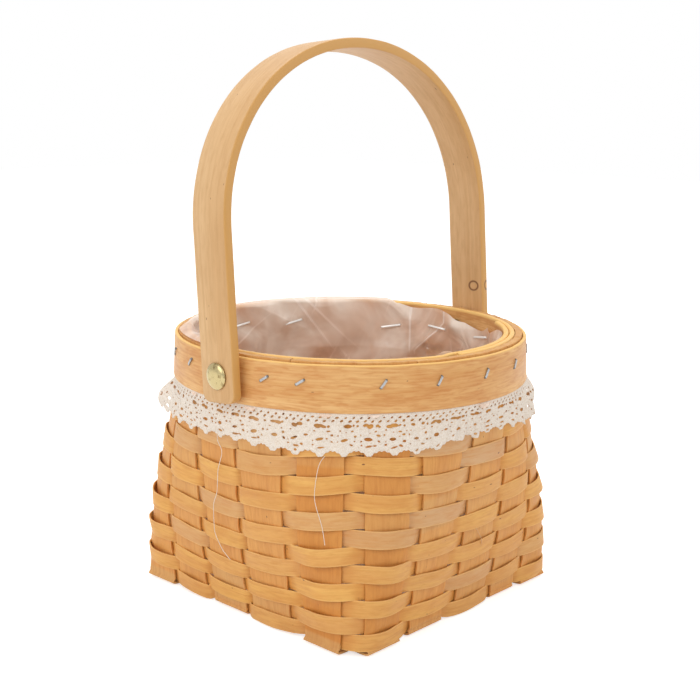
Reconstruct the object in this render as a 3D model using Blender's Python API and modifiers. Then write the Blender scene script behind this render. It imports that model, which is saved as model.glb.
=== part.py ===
"""A small woven chip-wood basket with a swinging bow handle, a lace trim and a film liner.

Ten flat splints cross in the base in plain weave and turn up the four sides, sixteen
weavers go round them, and two hoops clasp the rim. Two rivets through the rim carry the
handle. Units are metres, +Z is up, and the origin is the middle of the base underside.
"""

import math

import bmesh
import bpy
from mathutils import Matrix, Vector

# Body, measured on the middle surface of the upright splints
RIM_RADIUS = 0.08635
RIM_LEAN_IN = 0.0011
BASE_HALF = 0.0768
BELLY = 0.001
HOOP_FOOT_Z = 0.1112
RIM_Z = 0.1333
ROUND_Z = 0.1075
CORNER_ROUND_SHARE = 0.13
CORNER_EASE = 1.2

# Clearance between pieces that touch on the real basket
FIT = 0.0003

# Splints, which are the base and the uprights in one piece
STAKE_THICK = 0.0009
STAKE_BEND = 0.0015
STAKE_TOP_GAP = 0.0008
STAKE_X_WIDTHS = (0.022, 0.0255, 0.023, 0.020, 0.0205)
STAKE_Y_WIDTHS = (0.0215, 0.024, 0.0235, 0.0195, 0.0205)
STAKE_X_PLACE_SHARES = (-0.765, -0.313, 0.085, 0.46, 0.80)
STAKE_Y_PLACE_SHARES = (-0.80, -0.382, 0.074, 0.44, 0.79)
STAKE_UNBENT_ROWS = 2

# Weavers
WEAVER_ROWS = 16
WEAVER_WIDTH = 0.0076
WEAVER_THICK = 0.0007
WEAVER_GAP = 0.00048
FIRST_ROW_Z = 0.003

# Hoops
HOOP_GAP = 0.0004
OUTER_HOOP_THICK = 0.0018
INNER_HOOP_THICK = 0.0027
INNER_HOOP_RISE = 0.0014
HOOP_SEGMENTS = 60
OUTER_LAP_AT = math.radians(55)
OUTER_LAP_TURN = math.radians(15)
INNER_LAP_AT = math.radians(-68)
INNER_LAP_TURN = math.radians(21)
LAP_STEP_TURN = math.radians(7)

# Lace band
LACE_THICK = 0.0008
LACE_DROP = 0.0192
LACE_SCALLOP = 0.002
LACE_SCALLOPS_A_SIDE = 13

# Film liner
FILM_THICK = 0.0005
FILM_SLACK = 0.0006
FILM_CORNER_ROOM = 0.0036
FILM_STAND_OFF = 0.0031
FILM_TOP_GAP = 0.0028
FILM_RELEASE = 0.0095
FILM_FOOT_LIFT = 0.0034
FILM_FOOT_INSET = 0.003
FILM_COLUMNS_A_SIDE = 8
FILM_LEVEL_SHARES = (0.76, 0.52, 0.28)

# Handle
HANDLE_WIDTH = 0.022
HANDLE_THICK = 0.005
HANDLE_CLEARANCE = 0.0004
HANDLE_FOOT = 0.0144
HANDLE_CORNER = 0.0045
HANDLE_EASED_EDGE = 0.0006
HANDLE_LEG = 0.0658
HANDLE_RISE = 0.1522
HANDLE_SQUARENESS = 2.064
HANDLE_LEAN = math.radians(4.5)
HANDLE_SEGMENTS = 26
HANDLE_CORNER_SHARES = (0, 0.15, 0.5, 1)
HINGE_Y = -0.0059
HINGE_Z = 0.1241

# Rivets
RIVET_HEAD_RADIUS = 0.0064
RIVET_DOME = 0.002
RIVET_EDGE = 0.0004
RIVET_SHANK_RADIUS = 0.0021
RIVET_HOLE_RADIUS = 0.0025
RIVET_TAIL_RADIUS = 0.0034
RIVET_TAIL = 0.0009
RIVET_DOME_SHARES = (0.0, 0.5, 0.85, 1.0)
WASHER_RADIUS = 0.0046
WASHER_THICK = 0.0005
WASHER_SET_IN = 0.00095
ROUND_STEPS = 16

# Staples, places as azimuth and slant in degrees
WIRE_WIDE = 0.001
WIRE_THICK = 0.0005
RIM_CROWN = 0.0054
RIM_LEG_DEPTH = 0.0011
RIM_STAPLE_HEIGHT_SHARE = 0.62
RIM_STAPLES = (
    (148.4, 50), (164.8, 48), (197.2, 34), (208.4, 33), (232.4, 55), (249.7, 62),
    (267.7, 62), (284.7, 59), (310, 55), (335, 60), (18, 45), (43, 58),
    (84, 62), (118, 50),
)
LINER_CROWN = 0.012
LINER_LEG_DEPTH = 0.0014
LINER_STAPLE_HEIGHT_SHARE = 0.55
LINER_STAPLES = (
    (92.4, -5), (67.5, -13), (25.8, -7), (4.9, 12), (-20.2, 10), (128, 9),
    (205, -6), (245, 10),
)
SLOT_ROOM = 0.0003

# How far a cutter runs past what it cuts
OVERRUN = 0.002
WELD = 0.00001

# Turns sharper than these keep a crisp edge in the shading, or get their edge eased
CRISP_TURN = math.radians(40)
EASED_TURN = math.radians(60)

NECK_RADIUS = RIM_RADIUS + RIM_LEAN_IN
SKIN = STAKE_THICK / 2 + FIT + WEAVER_THICK
HOOP_OFFSET = SKIN + HOOP_GAP
# The widest flat splint's middle lies this far inside the round rim that its edges touch
WIDEST_STAKE = max(STAKE_X_WIDTHS + STAKE_Y_WIDTHS)
SPLINT_SAG = RIM_RADIUS - math.sqrt(RIM_RADIUS**2 - (WIDEST_STAKE / 2) ** 2)
FLOOR_LIFT = STAKE_THICK + FIT / 2
CROSS_LIFT = (STAKE_THICK + FIT) / 2
ROW_PITCH = WEAVER_WIDTH + WEAVER_GAP
LEG_INNER_X = NECK_RADIUS + HOOP_OFFSET + OUTER_HOOP_THICK + HANDLE_CLEARANCE
LEG_MIDDLE_X = LEG_INNER_X + HANDLE_THICK / 2
FACES = tuple(math.radians(turn) for turn in (0, 90, 180, 270))


def half_side(z):
    """Half the width across the flats of the middle surface, at a height."""
    if z <= HOOP_FOOT_Z:
        share = max(z, 0) / HOOP_FOOT_Z
        straight = BASE_HALF + (NECK_RADIUS - BASE_HALF) * share
        return straight + BELLY * math.sin(math.pi * share)
    share = (z - HOOP_FOOT_Z) / (RIM_Z - HOOP_FOOT_Z)
    return NECK_RADIUS + (RIM_RADIUS - NECK_RADIUS) * share


def corner_radius(z):
    """The section is nearly square at the base and a circle at the neck."""
    share = min(max(z, 0) / ROUND_Z, 1) ** CORNER_EASE
    return half_side(z) * (CORNER_ROUND_SHARE + (1 - CORNER_ROUND_SHARE) * share)


def side_arc(z):
    """Length along the section from the middle of a side to its corner."""
    radius = corner_radius(z)
    return half_side(z) - radius + radius * math.pi / 4


def section_point(face, arc, z, out=0.0):
    """The point at an arc length from the middle of a side, moved outwards by out."""
    radius = corner_radius(z)
    flat = half_side(z) - radius
    turn = max(abs(arc) - flat, 0) / radius
    side = math.copysign(1, arc)
    along = side * (min(abs(arc), flat) + (radius + out) * math.sin(turn))
    depth = flat + (radius + out) * math.cos(turn)
    return Matrix.Rotation(face, 3, "Z") @ Vector((depth, along, 0)) + Vector((0, 0, z))


def splint_edge(face, share, half_width, z, side, out):
    """A point level with one edge of an upright, moved square to its flat face."""
    arc = share * side_arc(z)
    low = section_point(face, arc - half_width, z)
    high = section_point(face, arc + half_width, z)
    square = (high - low).cross(Vector((0, 0, 1))).normalized()
    return (high if side > 0 else low) + square * out


def material(name, colour, roughness, metallic=0.0):
    """A plain Principled finish."""
    made = bpy.data.materials.new(name)
    made.use_nodes = True
    shader = made.node_tree.nodes["Principled BSDF"]
    shader.inputs["Base Color"].default_value = (*colour, 1)
    shader.inputs["Roughness"].default_value = roughness
    shader.inputs["Metallic"].default_value = metallic
    return made


def collection(name):
    """A new collection in the scene."""
    made = bpy.data.collections.new(name)
    bpy.context.scene.collection.children.link(made)
    return made


def add_object(name, mesh, group, finish=None, smooth=True):
    """An object of a mesh, in a collection, with its own material."""
    if finish:
        mesh.materials.append(finish)
    if smooth:
        mesh.shade_smooth()
        mesh.set_sharp_from_angle(angle=CRISP_TURN)
    made = bpy.data.objects.new(name, mesh)
    group.objects.link(made)
    return made


def sheet_mesh(name, columns, rows, place, closed):
    """A grid whose points are put where place(column, row) says."""
    shape = bmesh.new()
    bmesh.ops.create_grid(shape, x_segments=columns, y_segments=rows, size=1)
    for point in shape.verts:
        column = round((point.co.x + 1) / 2 * columns)
        row = round((point.co.y + 1) / 2 * rows)
        point.co = place(column % columns if closed else column, row)
    if closed:
        bmesh.ops.remove_doubles(shape, verts=shape.verts, dist=WELD)
    bmesh.ops.recalc_face_normals(shape, faces=shape.faces)
    mesh = bpy.data.meshes.new(name)
    shape.to_mesh(mesh)
    shape.free()
    return mesh


def thicken(target, thickness):
    """Gives a sheet its thickness, half to each side."""
    solidify = target.modifiers.new("thickness", "SOLIDIFY")
    solidify.thickness = thickness
    solidify.offset = 0
    solidify.use_even_offset = True
    return target


def cut(target, cutter):
    """Takes the cutter out of the target."""
    boolean = target.modifiers.new("cut_" + cutter.name, "BOOLEAN")
    boolean.operation = "DIFFERENCE"
    boolean.solver = "EXACT"
    boolean.object = cutter


def splint_place(faces, share, half_width, own_lift, crossed):
    """The function that lays one splint: down a side, across the base and up the other.

    It bends where a row of weaving ends, so that the rows lie flat along it.
    """
    foot_arc = side_arc(0)
    top_z = RIM_Z - STAKE_TOP_GAP
    bends = range(1, WEAVER_ROWS - STAKE_UNBENT_ROWS + 1)
    levels = [FIRST_ROW_Z + rows * ROW_PITCH - WEAVER_GAP / 2 for rows in bends]
    levels = [FLOOR_LIFT + STAKE_BEND] + [z for z in levels if z < top_z] + [top_z]
    slack = STAKE_BEND * (1 - math.sqrt(0.5))
    stations = [("side", 0, z, 0) for z in reversed(levels)]
    stations.append(("foot", 0, slack, slack))
    stations.append(("foot", 0, STAKE_BEND, 0))
    for cross, ((cross_share, cross_width), lift) in enumerate(zip(crossed, own_lift)):
        for edge in (-cross_width / 2, cross_width / 2):
            stations.append(("base", cross, cross_share * foot_arc + edge, lift))
    stations.append(("foot", 1, STAKE_BEND, 0))
    stations.append(("foot", 1, slack, slack))
    stations += [("side", 1, z, 0) for z in levels]

    def place(column, row):
        kind, end, first, second = stations[row]
        offset = (2 * column - 1) * half_width
        if kind == "base":
            across = share * foot_arc + offset
            middle = Vector((first, across, FLOOR_LIFT + second))
            turn = faces[1]
            return Matrix.Rotation(turn, 3, "Z") @ middle
        side = 1 if end == 1 else -1
        z = first if kind == "side" else 0
        arc = side * (share * side_arc(z) + offset)
        point = section_point(faces[end], arc, z)
        if kind == "foot":
            inwards = Matrix.Rotation(faces[end], 3, "Z") @ Vector((-first, 0, 0))
            point += inwards + Vector((0, 0, FLOOR_LIFT + second))
        return point

    return place, len(stations) - 1


def make_stakes(group, finish):
    """Five splints along X and five along Y, laced over and under in the base."""
    along_x = tuple(zip(STAKE_X_PLACE_SHARES, STAKE_X_WIDTHS))
    along_y = tuple(zip(STAKE_Y_PLACE_SHARES, STAKE_Y_WIDTHS))
    made = {"stake_x": [], "stake_y": []}
    plans = (
        ("stake_x", (FACES[2], FACES[0]), along_x, along_y, 0),
        ("stake_y", (FACES[3], FACES[1]), along_y, along_x, 1),
    )
    for prefix, faces, own, crossed, turned in plans:
        for index, (share, width) in enumerate(own):
            lifts = []
            for cross in range(len(crossed)):
                over = (index + cross + turned) % 2 == 0
                lifts.append(CROSS_LIFT if over else -CROSS_LIFT)
            place_share = -share if turned else share
            place, rows = splint_place(faces, place_share, width / 2, lifts, crossed)
            name = f"{prefix}{index + 1}"
            mesh = sheet_mesh(name, 1, rows, place, closed=False)
            made[prefix].append(thicken(add_object(name, mesh, group, finish), STAKE_THICK))
    return made


def stake_order():
    """Every upright on the way round, as its face, place share and half its width."""
    order = []
    for quarter, face in enumerate(FACES):
        along_x = quarter % 2 == 0
        shares = STAKE_X_PLACE_SHARES if along_x else STAKE_Y_PLACE_SHARES
        widths = STAKE_X_WIDTHS if along_x else STAKE_Y_WIDTHS
        side = -1 if quarter in (1, 2) else 1
        places = sorted((side * share, width / 2) for share, width in zip(shares, widths))
        order += [(face, share, half_width) for share, half_width in places]
    return order


def make_weavers(group, finish):
    """Closed rings that pass outside one upright and inside the next."""
    order = stake_order()
    lift = STAKE_THICK / 2 + FIT + WEAVER_THICK / 2
    made = []
    for row_number in range(WEAVER_ROWS):
        foot = FIRST_ROW_Z + row_number * ROW_PITCH

        def place(column, row):
            upright, edge = divmod(column, 2)
            face, share, half_width = order[upright]
            z = foot + row * WEAVER_WIDTH
            side = 1 if (upright + row_number) % 2 else -1
            return splint_edge(face, share, half_width, z, 2 * edge - 1, side * lift)

        name = f"weaver_{row_number + 1:02d}"
        mesh = sheet_mesh(name, 2 * len(order), 1, place, closed=True)
        made.append(thicken(add_object(name, mesh, group, finish), WEAVER_THICK))
    return made


def make_hoop(name, group, finish, thickness, top_z, lap_at, lap_turn, side, offset):
    """A bent strip whose end laps over its own start, outwards or inwards by side."""
    whole = 2 * math.pi + lap_turn
    segments = round(HOOP_SEGMENTS * whole / (2 * math.pi))
    step = thickness + FIT

    def lift_at(turn):
        ramp = (turn - (2 * math.pi - LAP_STEP_TURN)) / LAP_STEP_TURN
        return step * min(max(ramp, 0), 1)

    start = 2 * math.pi - LAP_STEP_TURN
    turns = [whole * index / segments for index in range(segments + 1)]
    turns = sorted([t for t in turns if not start < t < 2 * math.pi] + [start, 2 * math.pi])

    def place(column, row):
        z = top_z if row else HOOP_FOOT_Z
        radius = half_side(z) + side * (offset + thickness / 2 + lift_at(turns[column]))
        angle = lap_at + turns[column]
        return Vector((radius * math.cos(angle), radius * math.sin(angle), z))

    mesh = sheet_mesh(name, len(turns) - 1, 1, place, closed=False)
    return thicken(add_object(name, mesh, group, finish), thickness)


def make_lace(group, finish):
    """A band round the neck, just under the outer hoop, with a scalloped foot."""
    top_z = HOOP_FOOT_Z - FIT
    columns = 2 * LACE_SCALLOPS_A_SIDE
    out = SKIN + 2 * FIT + LACE_THICK / 2

    def place(column, row):
        quarter, step = divmod(column, columns)
        foot_z = top_z - LACE_DROP + (LACE_SCALLOP if step % 2 else 0)
        z = top_z if row else foot_z
        share = 2 * step / columns - 1
        return section_point(FACES[quarter], share * side_arc(z), z, out)

    mesh = sheet_mesh("lace_trim", 4 * columns, 1, place, closed=True)
    return thicken(add_object("lace_trim", mesh, group, finish), LACE_THICK)


def film_offset():
    """Where the film hangs below the inner hoop's inner face, from the middle surface."""
    hoop_inside = HOOP_OFFSET + SPLINT_SAG + INNER_HOOP_THICK
    return -(hoop_inside + FILM_STAND_OFF + FIT + FILM_THICK / 2)


def make_liner(group, finish):
    """An open bag of film, hung inside the inner hoop and lying on the base."""
    upper = film_offset()
    lower = -(SKIN + FILM_CORNER_ROOM + FILM_THICK / 2)
    floor_z = FLOOR_LIFT + CROSS_LIFT + STAKE_THICK / 2 + FIT + FILM_THICK / 2
    foot_z = floor_z + FILM_FOOT_LIFT
    levels = [(RIM_Z - FILM_TOP_GAP, upper), (HOOP_FOOT_Z - FILM_SLACK, upper)]
    levels.append((HOOP_FOOT_Z - FILM_SLACK - FILM_RELEASE, lower))
    levels += [(share * HOOP_FOOT_Z, lower) for share in FILM_LEVEL_SHARES]
    levels += [(foot_z, lower), (floor_z, lower - FILM_FOOT_INSET)]

    def place(column, row):
        if row == len(levels):
            return Vector((0, 0, floor_z))
        quarter, step = divmod(column, FILM_COLUMNS_A_SIDE)
        z, out = levels[row]
        share = 2 * step / FILM_COLUMNS_A_SIDE - 1
        return section_point(FACES[quarter], share * side_arc(z), z, out)

    columns = 4 * FILM_COLUMNS_A_SIDE
    mesh = sheet_mesh("film_liner", columns, len(levels), place, closed=True)
    return thicken(add_object("film_liner", mesh, group, finish), FILM_THICK)


def handle_path():
    """Points of the bow's middle line from the hinge, as (x, z, half width)."""
    half_width = HANDLE_WIDTH / 2
    leg = []
    for share in HANDLE_CORNER_SHARES:
        drop = HANDLE_CORNER * share
        tuck = HANDLE_CORNER - math.sqrt(HANDLE_CORNER**2 - (HANDLE_CORNER - drop) ** 2)
        leg.append((LEG_MIDDLE_X, drop - HANDLE_FOOT, half_width - tuck))
    arch = []
    for index in range(HANDLE_SEGMENTS + 1):
        turn = math.pi * index / HANDLE_SEGMENTS
        across = abs(math.cos(turn)) ** (2 / HANDLE_SQUARENESS)
        up = max(math.sin(turn), 0) ** (2 / HANDLE_SQUARENESS)
        x = math.copysign(LEG_MIDDLE_X * across, math.cos(turn))
        arch.append((x, HANDLE_LEG + (HANDLE_RISE - HANDLE_LEG) * up, half_width))
    other = [(-x, z, half) for x, z, half in reversed(leg)]
    return leg + arch + other


def make_handle(group, finish):
    """The bent strip, made upright round the hinge and then leaned back."""
    path = handle_path()

    def place(column, row):
        x, z, half_width = path[column]
        return Vector((x, half_width if row else -half_width, z))

    mesh = sheet_mesh("handle_bow", len(path) - 1, 1, place, closed=False)
    bow = thicken(add_object("handle_bow", mesh, group, finish), HANDLE_THICK)
    bow.location = (0, HINGE_Y, HINGE_Z)
    bow.rotation_euler = (-HANDLE_LEAN, 0, 0)
    eased = bow.modifiers.new("eased_edges", "BEVEL")
    eased.width = HANDLE_EASED_EDGE
    eased.segments = 1
    eased.limit_method = "ANGLE"
    eased.angle_limit = EASED_TURN
    return bow


def turned(name, profile, closed, group, finish, towards):
    """A round piece on the hinge line, with its outer end towards +X or -X."""
    mesh = bpy.data.meshes.new(name)
    edges = [(index, index + 1) for index in range(len(profile) - 1)]
    if closed:
        edges.append((len(profile) - 1, 0))
    mesh.from_pydata([(radius, 0, height) for radius, height in profile], edges, [])
    made = add_object(name, mesh, group, finish, smooth=False)
    made.location = (0, HINGE_Y, HINGE_Z)
    made.rotation_euler = (0, towards * math.pi / 2, 0)
    screw = made.modifiers.new("turning", "SCREW")
    screw.steps = ROUND_STEPS
    screw.render_steps = ROUND_STEPS
    screw.use_merge_vertices = True
    screw.merge_threshold = WELD
    return made


def make_rivets(group, finish):
    """Domed rivets from the handle's outer face to a washer inside the inner hoop."""
    head = LEG_INNER_X + HANDLE_THICK + FIT
    hoop_inside = half_side(HINGE_Z) - HOOP_OFFSET - SPLINT_SAG - INNER_HOOP_THICK
    washer_out = hoop_inside - WASHER_SET_IN - FIT
    washer_in = washer_out - WASHER_THICK
    tail = washer_in - FIT
    dome = []
    for share in RIVET_DOME_SHARES:
        rise = RIVET_EDGE + (RIVET_DOME - RIVET_EDGE) * math.sqrt(1 - share**2)
        dome.append((RIVET_HEAD_RADIUS * share, head + rise))
    rivet = dome + [
        (RIVET_HEAD_RADIUS, head),
        (RIVET_SHANK_RADIUS, head),
        (RIVET_SHANK_RADIUS, tail),
        (RIVET_TAIL_RADIUS, tail),
        (RIVET_TAIL_RADIUS, tail - RIVET_TAIL),
        (0, tail - RIVET_TAIL),
    ]
    washer = [
        (WASHER_RADIUS, washer_out),
        (WASHER_RADIUS, washer_in),
        (RIVET_HOLE_RADIUS, washer_in),
        (RIVET_HOLE_RADIUS, washer_out),
    ]
    for side, towards in (("left", -1), ("right", 1)):
        turned("rivet_" + side, rivet, False, group, finish, towards)
        turned("rivet_washer_" + side, washer, True, group, finish, towards)


def staple_outline(crown, leg):
    """A flat U of wire as a mesh, crown along X and legs down -Z from its outer face."""
    curve = bpy.data.curves.new("staple", "CURVE")
    curve.dimensions = "2D"
    curve.fill_mode = "BOTH"
    curve.extrude = WIRE_WIDE / 2
    spline = curve.splines.new("POLY")
    half = crown / 2
    corners = [
        (-half, 0), (-half, -leg), (WIRE_THICK - half, -leg), (WIRE_THICK - half, -WIRE_THICK),
        (half - WIRE_THICK, -WIRE_THICK), (half - WIRE_THICK, -leg), (half, -leg), (half, 0),
    ]
    spline.points.add(len(corners) - 1)
    for point, (along, down) in zip(spline.points, corners):
        point.co = (along, down, 0, 1)
    spline.use_cyclic_u = True
    holder = bpy.data.objects.new("staple", curve)
    bpy.context.scene.collection.objects.link(holder)
    graph = bpy.context.evaluated_depsgraph_get()
    mesh = bpy.data.meshes.new_from_object(holder.evaluated_get(graph))
    bpy.data.objects.remove(holder)
    shape = bmesh.new()
    shape.from_mesh(mesh)
    bmesh.ops.remove_doubles(shape, verts=shape.verts, dist=WELD)
    bmesh.ops.rotate(shape, verts=shape.verts, matrix=Matrix.Rotation(math.pi / 2, 3, "X"))
    bmesh.ops.recalc_face_normals(shape, faces=shape.faces)
    shape.to_mesh(mesh)
    shape.free()
    return mesh


def staple_frame(azimuth, slant, radius, z, side):
    """Where a staple sits: crown across the surface, legs into it, turned by its slant."""
    outwards = Vector((math.cos(azimuth), math.sin(azimuth), 0))
    tangent = Vector((-outwards.y, outwards.x, 0))
    along = tangent * math.cos(slant) + Vector((0, 0, 1)) * math.sin(slant)
    normal = outwards * side
    frame = Matrix((along, normal.cross(along), normal)).transposed().to_4x4()
    frame.translation = outwards * radius + Vector((0, 0, z))
    return frame


def make_staples(name, places, crown, leg, radius, z, side, group, cutters, finish):
    """A set of staples, and the slots that their legs need as one cutter."""
    outline = staple_outline(crown, leg)
    slots = bmesh.new()
    for number, (azimuth, slant) in enumerate(places):
        frame = staple_frame(math.radians(azimuth), math.radians(slant), radius, z, side)
        staple = add_object(f"{name}_{number + 1:02d}", outline, group, smooth=False)
        staple.matrix_world = frame
        for end in (-1, 1):
            middle = end * (crown - WIRE_THICK) / 2
            size = (WIRE_THICK + 2 * SLOT_ROOM, WIRE_WIDE + 2 * SLOT_ROOM, leg)
            shift = Matrix.Translation((middle, 0, -leg / 2 - SLOT_ROOM))
            scale = Matrix.Diagonal((*size, 1))
            bmesh.ops.create_cube(slots, size=1, matrix=frame @ shift @ scale)
    outline.materials.append(finish)
    slot_mesh = bpy.data.meshes.new(name + "_slots")
    bmesh.ops.recalc_face_normals(slots, faces=slots.faces)
    slots.to_mesh(slot_mesh)
    slots.free()
    return add_cutter(add_object(name + "_slots", slot_mesh, cutters, smooth=False))


def add_cutter(cutter):
    """Marks an object as a helper that isn't part of the basket."""
    cutter.hide_render = True
    cutter.display_type = "WIRE"
    return cutter


def make_rivet_drill(cutters):
    """The one straight hole through both legs and the whole rim."""
    reach = LEG_INNER_X + HANDLE_THICK + OVERRUN
    shape = bmesh.new()
    bmesh.ops.create_cone(
        shape, cap_ends=True, segments=ROUND_STEPS, radius1=RIVET_HOLE_RADIUS,
        radius2=RIVET_HOLE_RADIUS, depth=2 * reach,
        matrix=Matrix.Rotation(math.pi / 2, 4, "Y"))
    mesh = bpy.data.meshes.new("rivet_drill")
    shape.to_mesh(mesh)
    shape.free()
    drill = add_object("rivet_drill", mesh, cutters, smooth=False)
    drill.location = (0, HINGE_Y, HINGE_Z)
    return add_cutter(drill)


def drilled_rows():
    """The places in the weaving, from 0, of the rows that the rivets go through."""
    middle = HINGE_Z - FIRST_ROW_Z - WEAVER_WIDTH / 2
    reach = WEAVER_WIDTH / 2 + RIVET_HOLE_RADIUS
    return [row for row in range(WEAVER_ROWS) if abs(row * ROW_PITCH - middle) < reach]


def drilled_splints():
    """The places, from 0, of the splints along X that the rivets go through."""
    met = []
    for index, (share, width) in enumerate(zip(STAKE_X_PLACE_SHARES, STAKE_X_WIDTHS)):
        away = abs(share * side_arc(HINGE_Z) - HINGE_Y)
        if away < width / 2 + RIVET_HOLE_RADIUS:
            met.append(index)
    return met


def build():
    """Clears the scene and makes every piece."""
    for old in list(bpy.data.objects):
        bpy.data.objects.remove(old)
    parts = collection("pie_basket")
    cutters = collection("cutters")
    splint_wood = material("splint_wood", (0.72, 0.42, 0.17), 0.6)
    weaver_wood = material("weaver_wood", (0.80, 0.51, 0.23), 0.6)
    hoop_wood = material("hoop_wood", (0.82, 0.51, 0.20), 0.55)
    handle_wood = material("handle_wood", (0.76, 0.52, 0.26), 0.5)
    cotton = material("lace_cotton", (0.86, 0.83, 0.74), 0.9)
    film = material("liner_film", (0.74, 0.55, 0.46), 0.3)
    brass = material("rivet_brass", (0.82, 0.71, 0.42), 0.25, 1.0)
    steel = material("staple_steel", (0.62, 0.63, 0.65), 0.35, 1.0)

    stakes = make_stakes(parts, splint_wood)
    weavers = make_weavers(parts, weaver_wood)
    outer_hoop = make_hoop(
        "outer_hoop", parts, hoop_wood, OUTER_HOOP_THICK, RIM_Z, OUTER_LAP_AT,
        OUTER_LAP_TURN, 1, HOOP_OFFSET)
    inner_hoop = make_hoop(
        "inner_hoop", parts, hoop_wood, INNER_HOOP_THICK, RIM_Z + INNER_HOOP_RISE,
        INNER_LAP_AT, INNER_LAP_TURN, -1, HOOP_OFFSET + SPLINT_SAG)
    make_lace(parts, cotton)
    liner = make_liner(parts, film)
    handle = make_handle(parts, handle_wood)
    make_rivets(parts, brass)

    hoop_height = RIM_Z - HOOP_FOOT_Z
    rim_staple_z = HOOP_FOOT_Z + RIM_STAPLE_HEIGHT_SHARE * hoop_height
    rim_face = half_side(rim_staple_z) + HOOP_OFFSET + OUTER_HOOP_THICK
    rim_slots = make_staples(
        "rim_staple", RIM_STAPLES, RIM_CROWN, RIM_LEG_DEPTH + WIRE_THICK + FIT,
        rim_face + FIT + WIRE_THICK, rim_staple_z, 1, parts, cutters, steel)
    liner_staple_z = HOOP_FOOT_Z + LINER_STAPLE_HEIGHT_SHARE * hoop_height
    film_face = half_side(liner_staple_z) + film_offset() - FILM_THICK / 2
    liner_leg = WIRE_THICK + 2 * FIT + FILM_THICK + FILM_STAND_OFF + FIT + LINER_LEG_DEPTH
    liner_slots = make_staples(
        "liner_staple", LINER_STAPLES, LINER_CROWN, liner_leg,
        film_face - WIRE_THICK - 2 * FIT, liner_staple_z, -1, parts, cutters, steel)

    drill = make_rivet_drill(cutters)
    met_splints = [stakes["stake_x"][index] for index in drilled_splints()]
    met_weavers = [weavers[row] for row in drilled_rows()]
    for piece in [handle, outer_hoop, inner_hoop, *met_splints, *met_weavers]:
        cut(piece, drill)
    cut(outer_hoop, rim_slots)
    cut(inner_hoop, liner_slots)
    cut(liner, liner_slots)


build()
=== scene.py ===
# %% [markdown]
# This lesson dresses a small pie basket: ten wide splints of chip wood cross in the base
# and turn up the sides, sixteen weavers go round them, two hoops clasp the rim, a bow
# handle swings on brass rivets, and a lace band and a film liner are held at the rim.
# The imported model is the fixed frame. Each piece below is a finer one that rides on it.

# %% Load the frame
import math

import bmesh
import bpy
import numpy as np
from mathutils import Matrix, Vector


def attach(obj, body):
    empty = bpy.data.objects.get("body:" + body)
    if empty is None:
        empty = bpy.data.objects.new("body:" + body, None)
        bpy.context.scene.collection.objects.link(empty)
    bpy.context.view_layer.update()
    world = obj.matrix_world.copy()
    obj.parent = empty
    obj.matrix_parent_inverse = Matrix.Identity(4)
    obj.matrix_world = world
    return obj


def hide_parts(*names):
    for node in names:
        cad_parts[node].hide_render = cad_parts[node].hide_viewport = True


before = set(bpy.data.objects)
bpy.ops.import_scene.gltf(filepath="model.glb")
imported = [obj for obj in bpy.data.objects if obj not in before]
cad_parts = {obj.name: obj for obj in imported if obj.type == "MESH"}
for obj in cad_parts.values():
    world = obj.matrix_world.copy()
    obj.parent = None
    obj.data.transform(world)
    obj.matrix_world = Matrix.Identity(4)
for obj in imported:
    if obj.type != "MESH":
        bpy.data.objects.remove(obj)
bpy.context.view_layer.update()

# %% [markdown]
# The camera stands where the photographer stood: a little above the rim, looking at one
# corner of the basket. Its place was fitted to the rim, the base and the handle.

# %% Camera
CAMERA_PLACE = Vector((-0.4622056, -0.4277509, 0.25294))
YAW, PITCH, ROLL = 0.8238, -0.2054, 0.0143
LENS, SENSOR = 63.69, 36

scene = bpy.context.scene


def placed(name, data, matrix=None):
    """An object for a mesh, a lamp or a camera, linked into the scene."""
    made = bpy.data.objects.new(name, data)
    if matrix is not None:
        made.matrix_world = matrix
    scene.collection.objects.link(made)
    return made


looking = Vector((
    math.sin(YAW) * math.cos(PITCH), math.cos(YAW) * math.cos(PITCH), math.sin(PITCH)))
level = looking.cross(Vector((0, 0, 1))).normalized()
upright = level.cross(looking)
right = math.cos(ROLL) * level + math.sin(ROLL) * upright
top = math.cos(ROLL) * upright - math.sin(ROLL) * level
camera = placed("camera", bpy.data.cameras.new("camera"), Matrix.Translation(
    CAMERA_PLACE) @ Matrix((right, top, -looking)).transposed().to_4x4())
camera.data.lens, camera.data.sensor_width = LENS, SENSOR
scene.camera = camera
print("camera at", [round(value, 3) for value in CAMERA_PLACE])

# %% [markdown]
# Every finish and every Geometry Nodes tree below is built with the same three helpers.
# Each says in one line what a node is and what feeds it, so that a tree reads from its
# first node to its last.

# %% Helpers for nodes
def wire(tree, feed, made, socket):
    """Feeds a socket with a value, a node's first output or a node with an output."""
    if isinstance(feed, bpy.types.Node):
        feed = (feed, 0)
    if isinstance(feed, tuple) and isinstance(feed[0], bpy.types.Node):
        tree.links.new(feed[0].outputs[feed[1]], made.inputs[socket])
    else:
        made.inputs[socket].default_value = feed


def put(tree, kind, feeds=None, **settings):
    """A new node with its settings and with what feeds its sockets."""
    made = tree.nodes.new(kind)
    made.location = (220 * (len(tree.nodes) % 8), -260 * (len(tree.nodes) // 8))
    for title, value in settings.items():
        setattr(made, title, value)
    for socket, feed in (feeds or {}).items():
        wire(tree, feed, made, socket)
    return made


def calc(tree, operation, *feeds, vector=False):
    """A Math or Vector Math node with its feeds in order."""
    sockets = (0, "Scale") if operation == "SCALE" else range(len(feeds))
    return put(tree, "ShaderNodeVectorMath" if vector else "ShaderNodeMath",
               dict(zip(sockets, feeds)), operation=operation)


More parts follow.
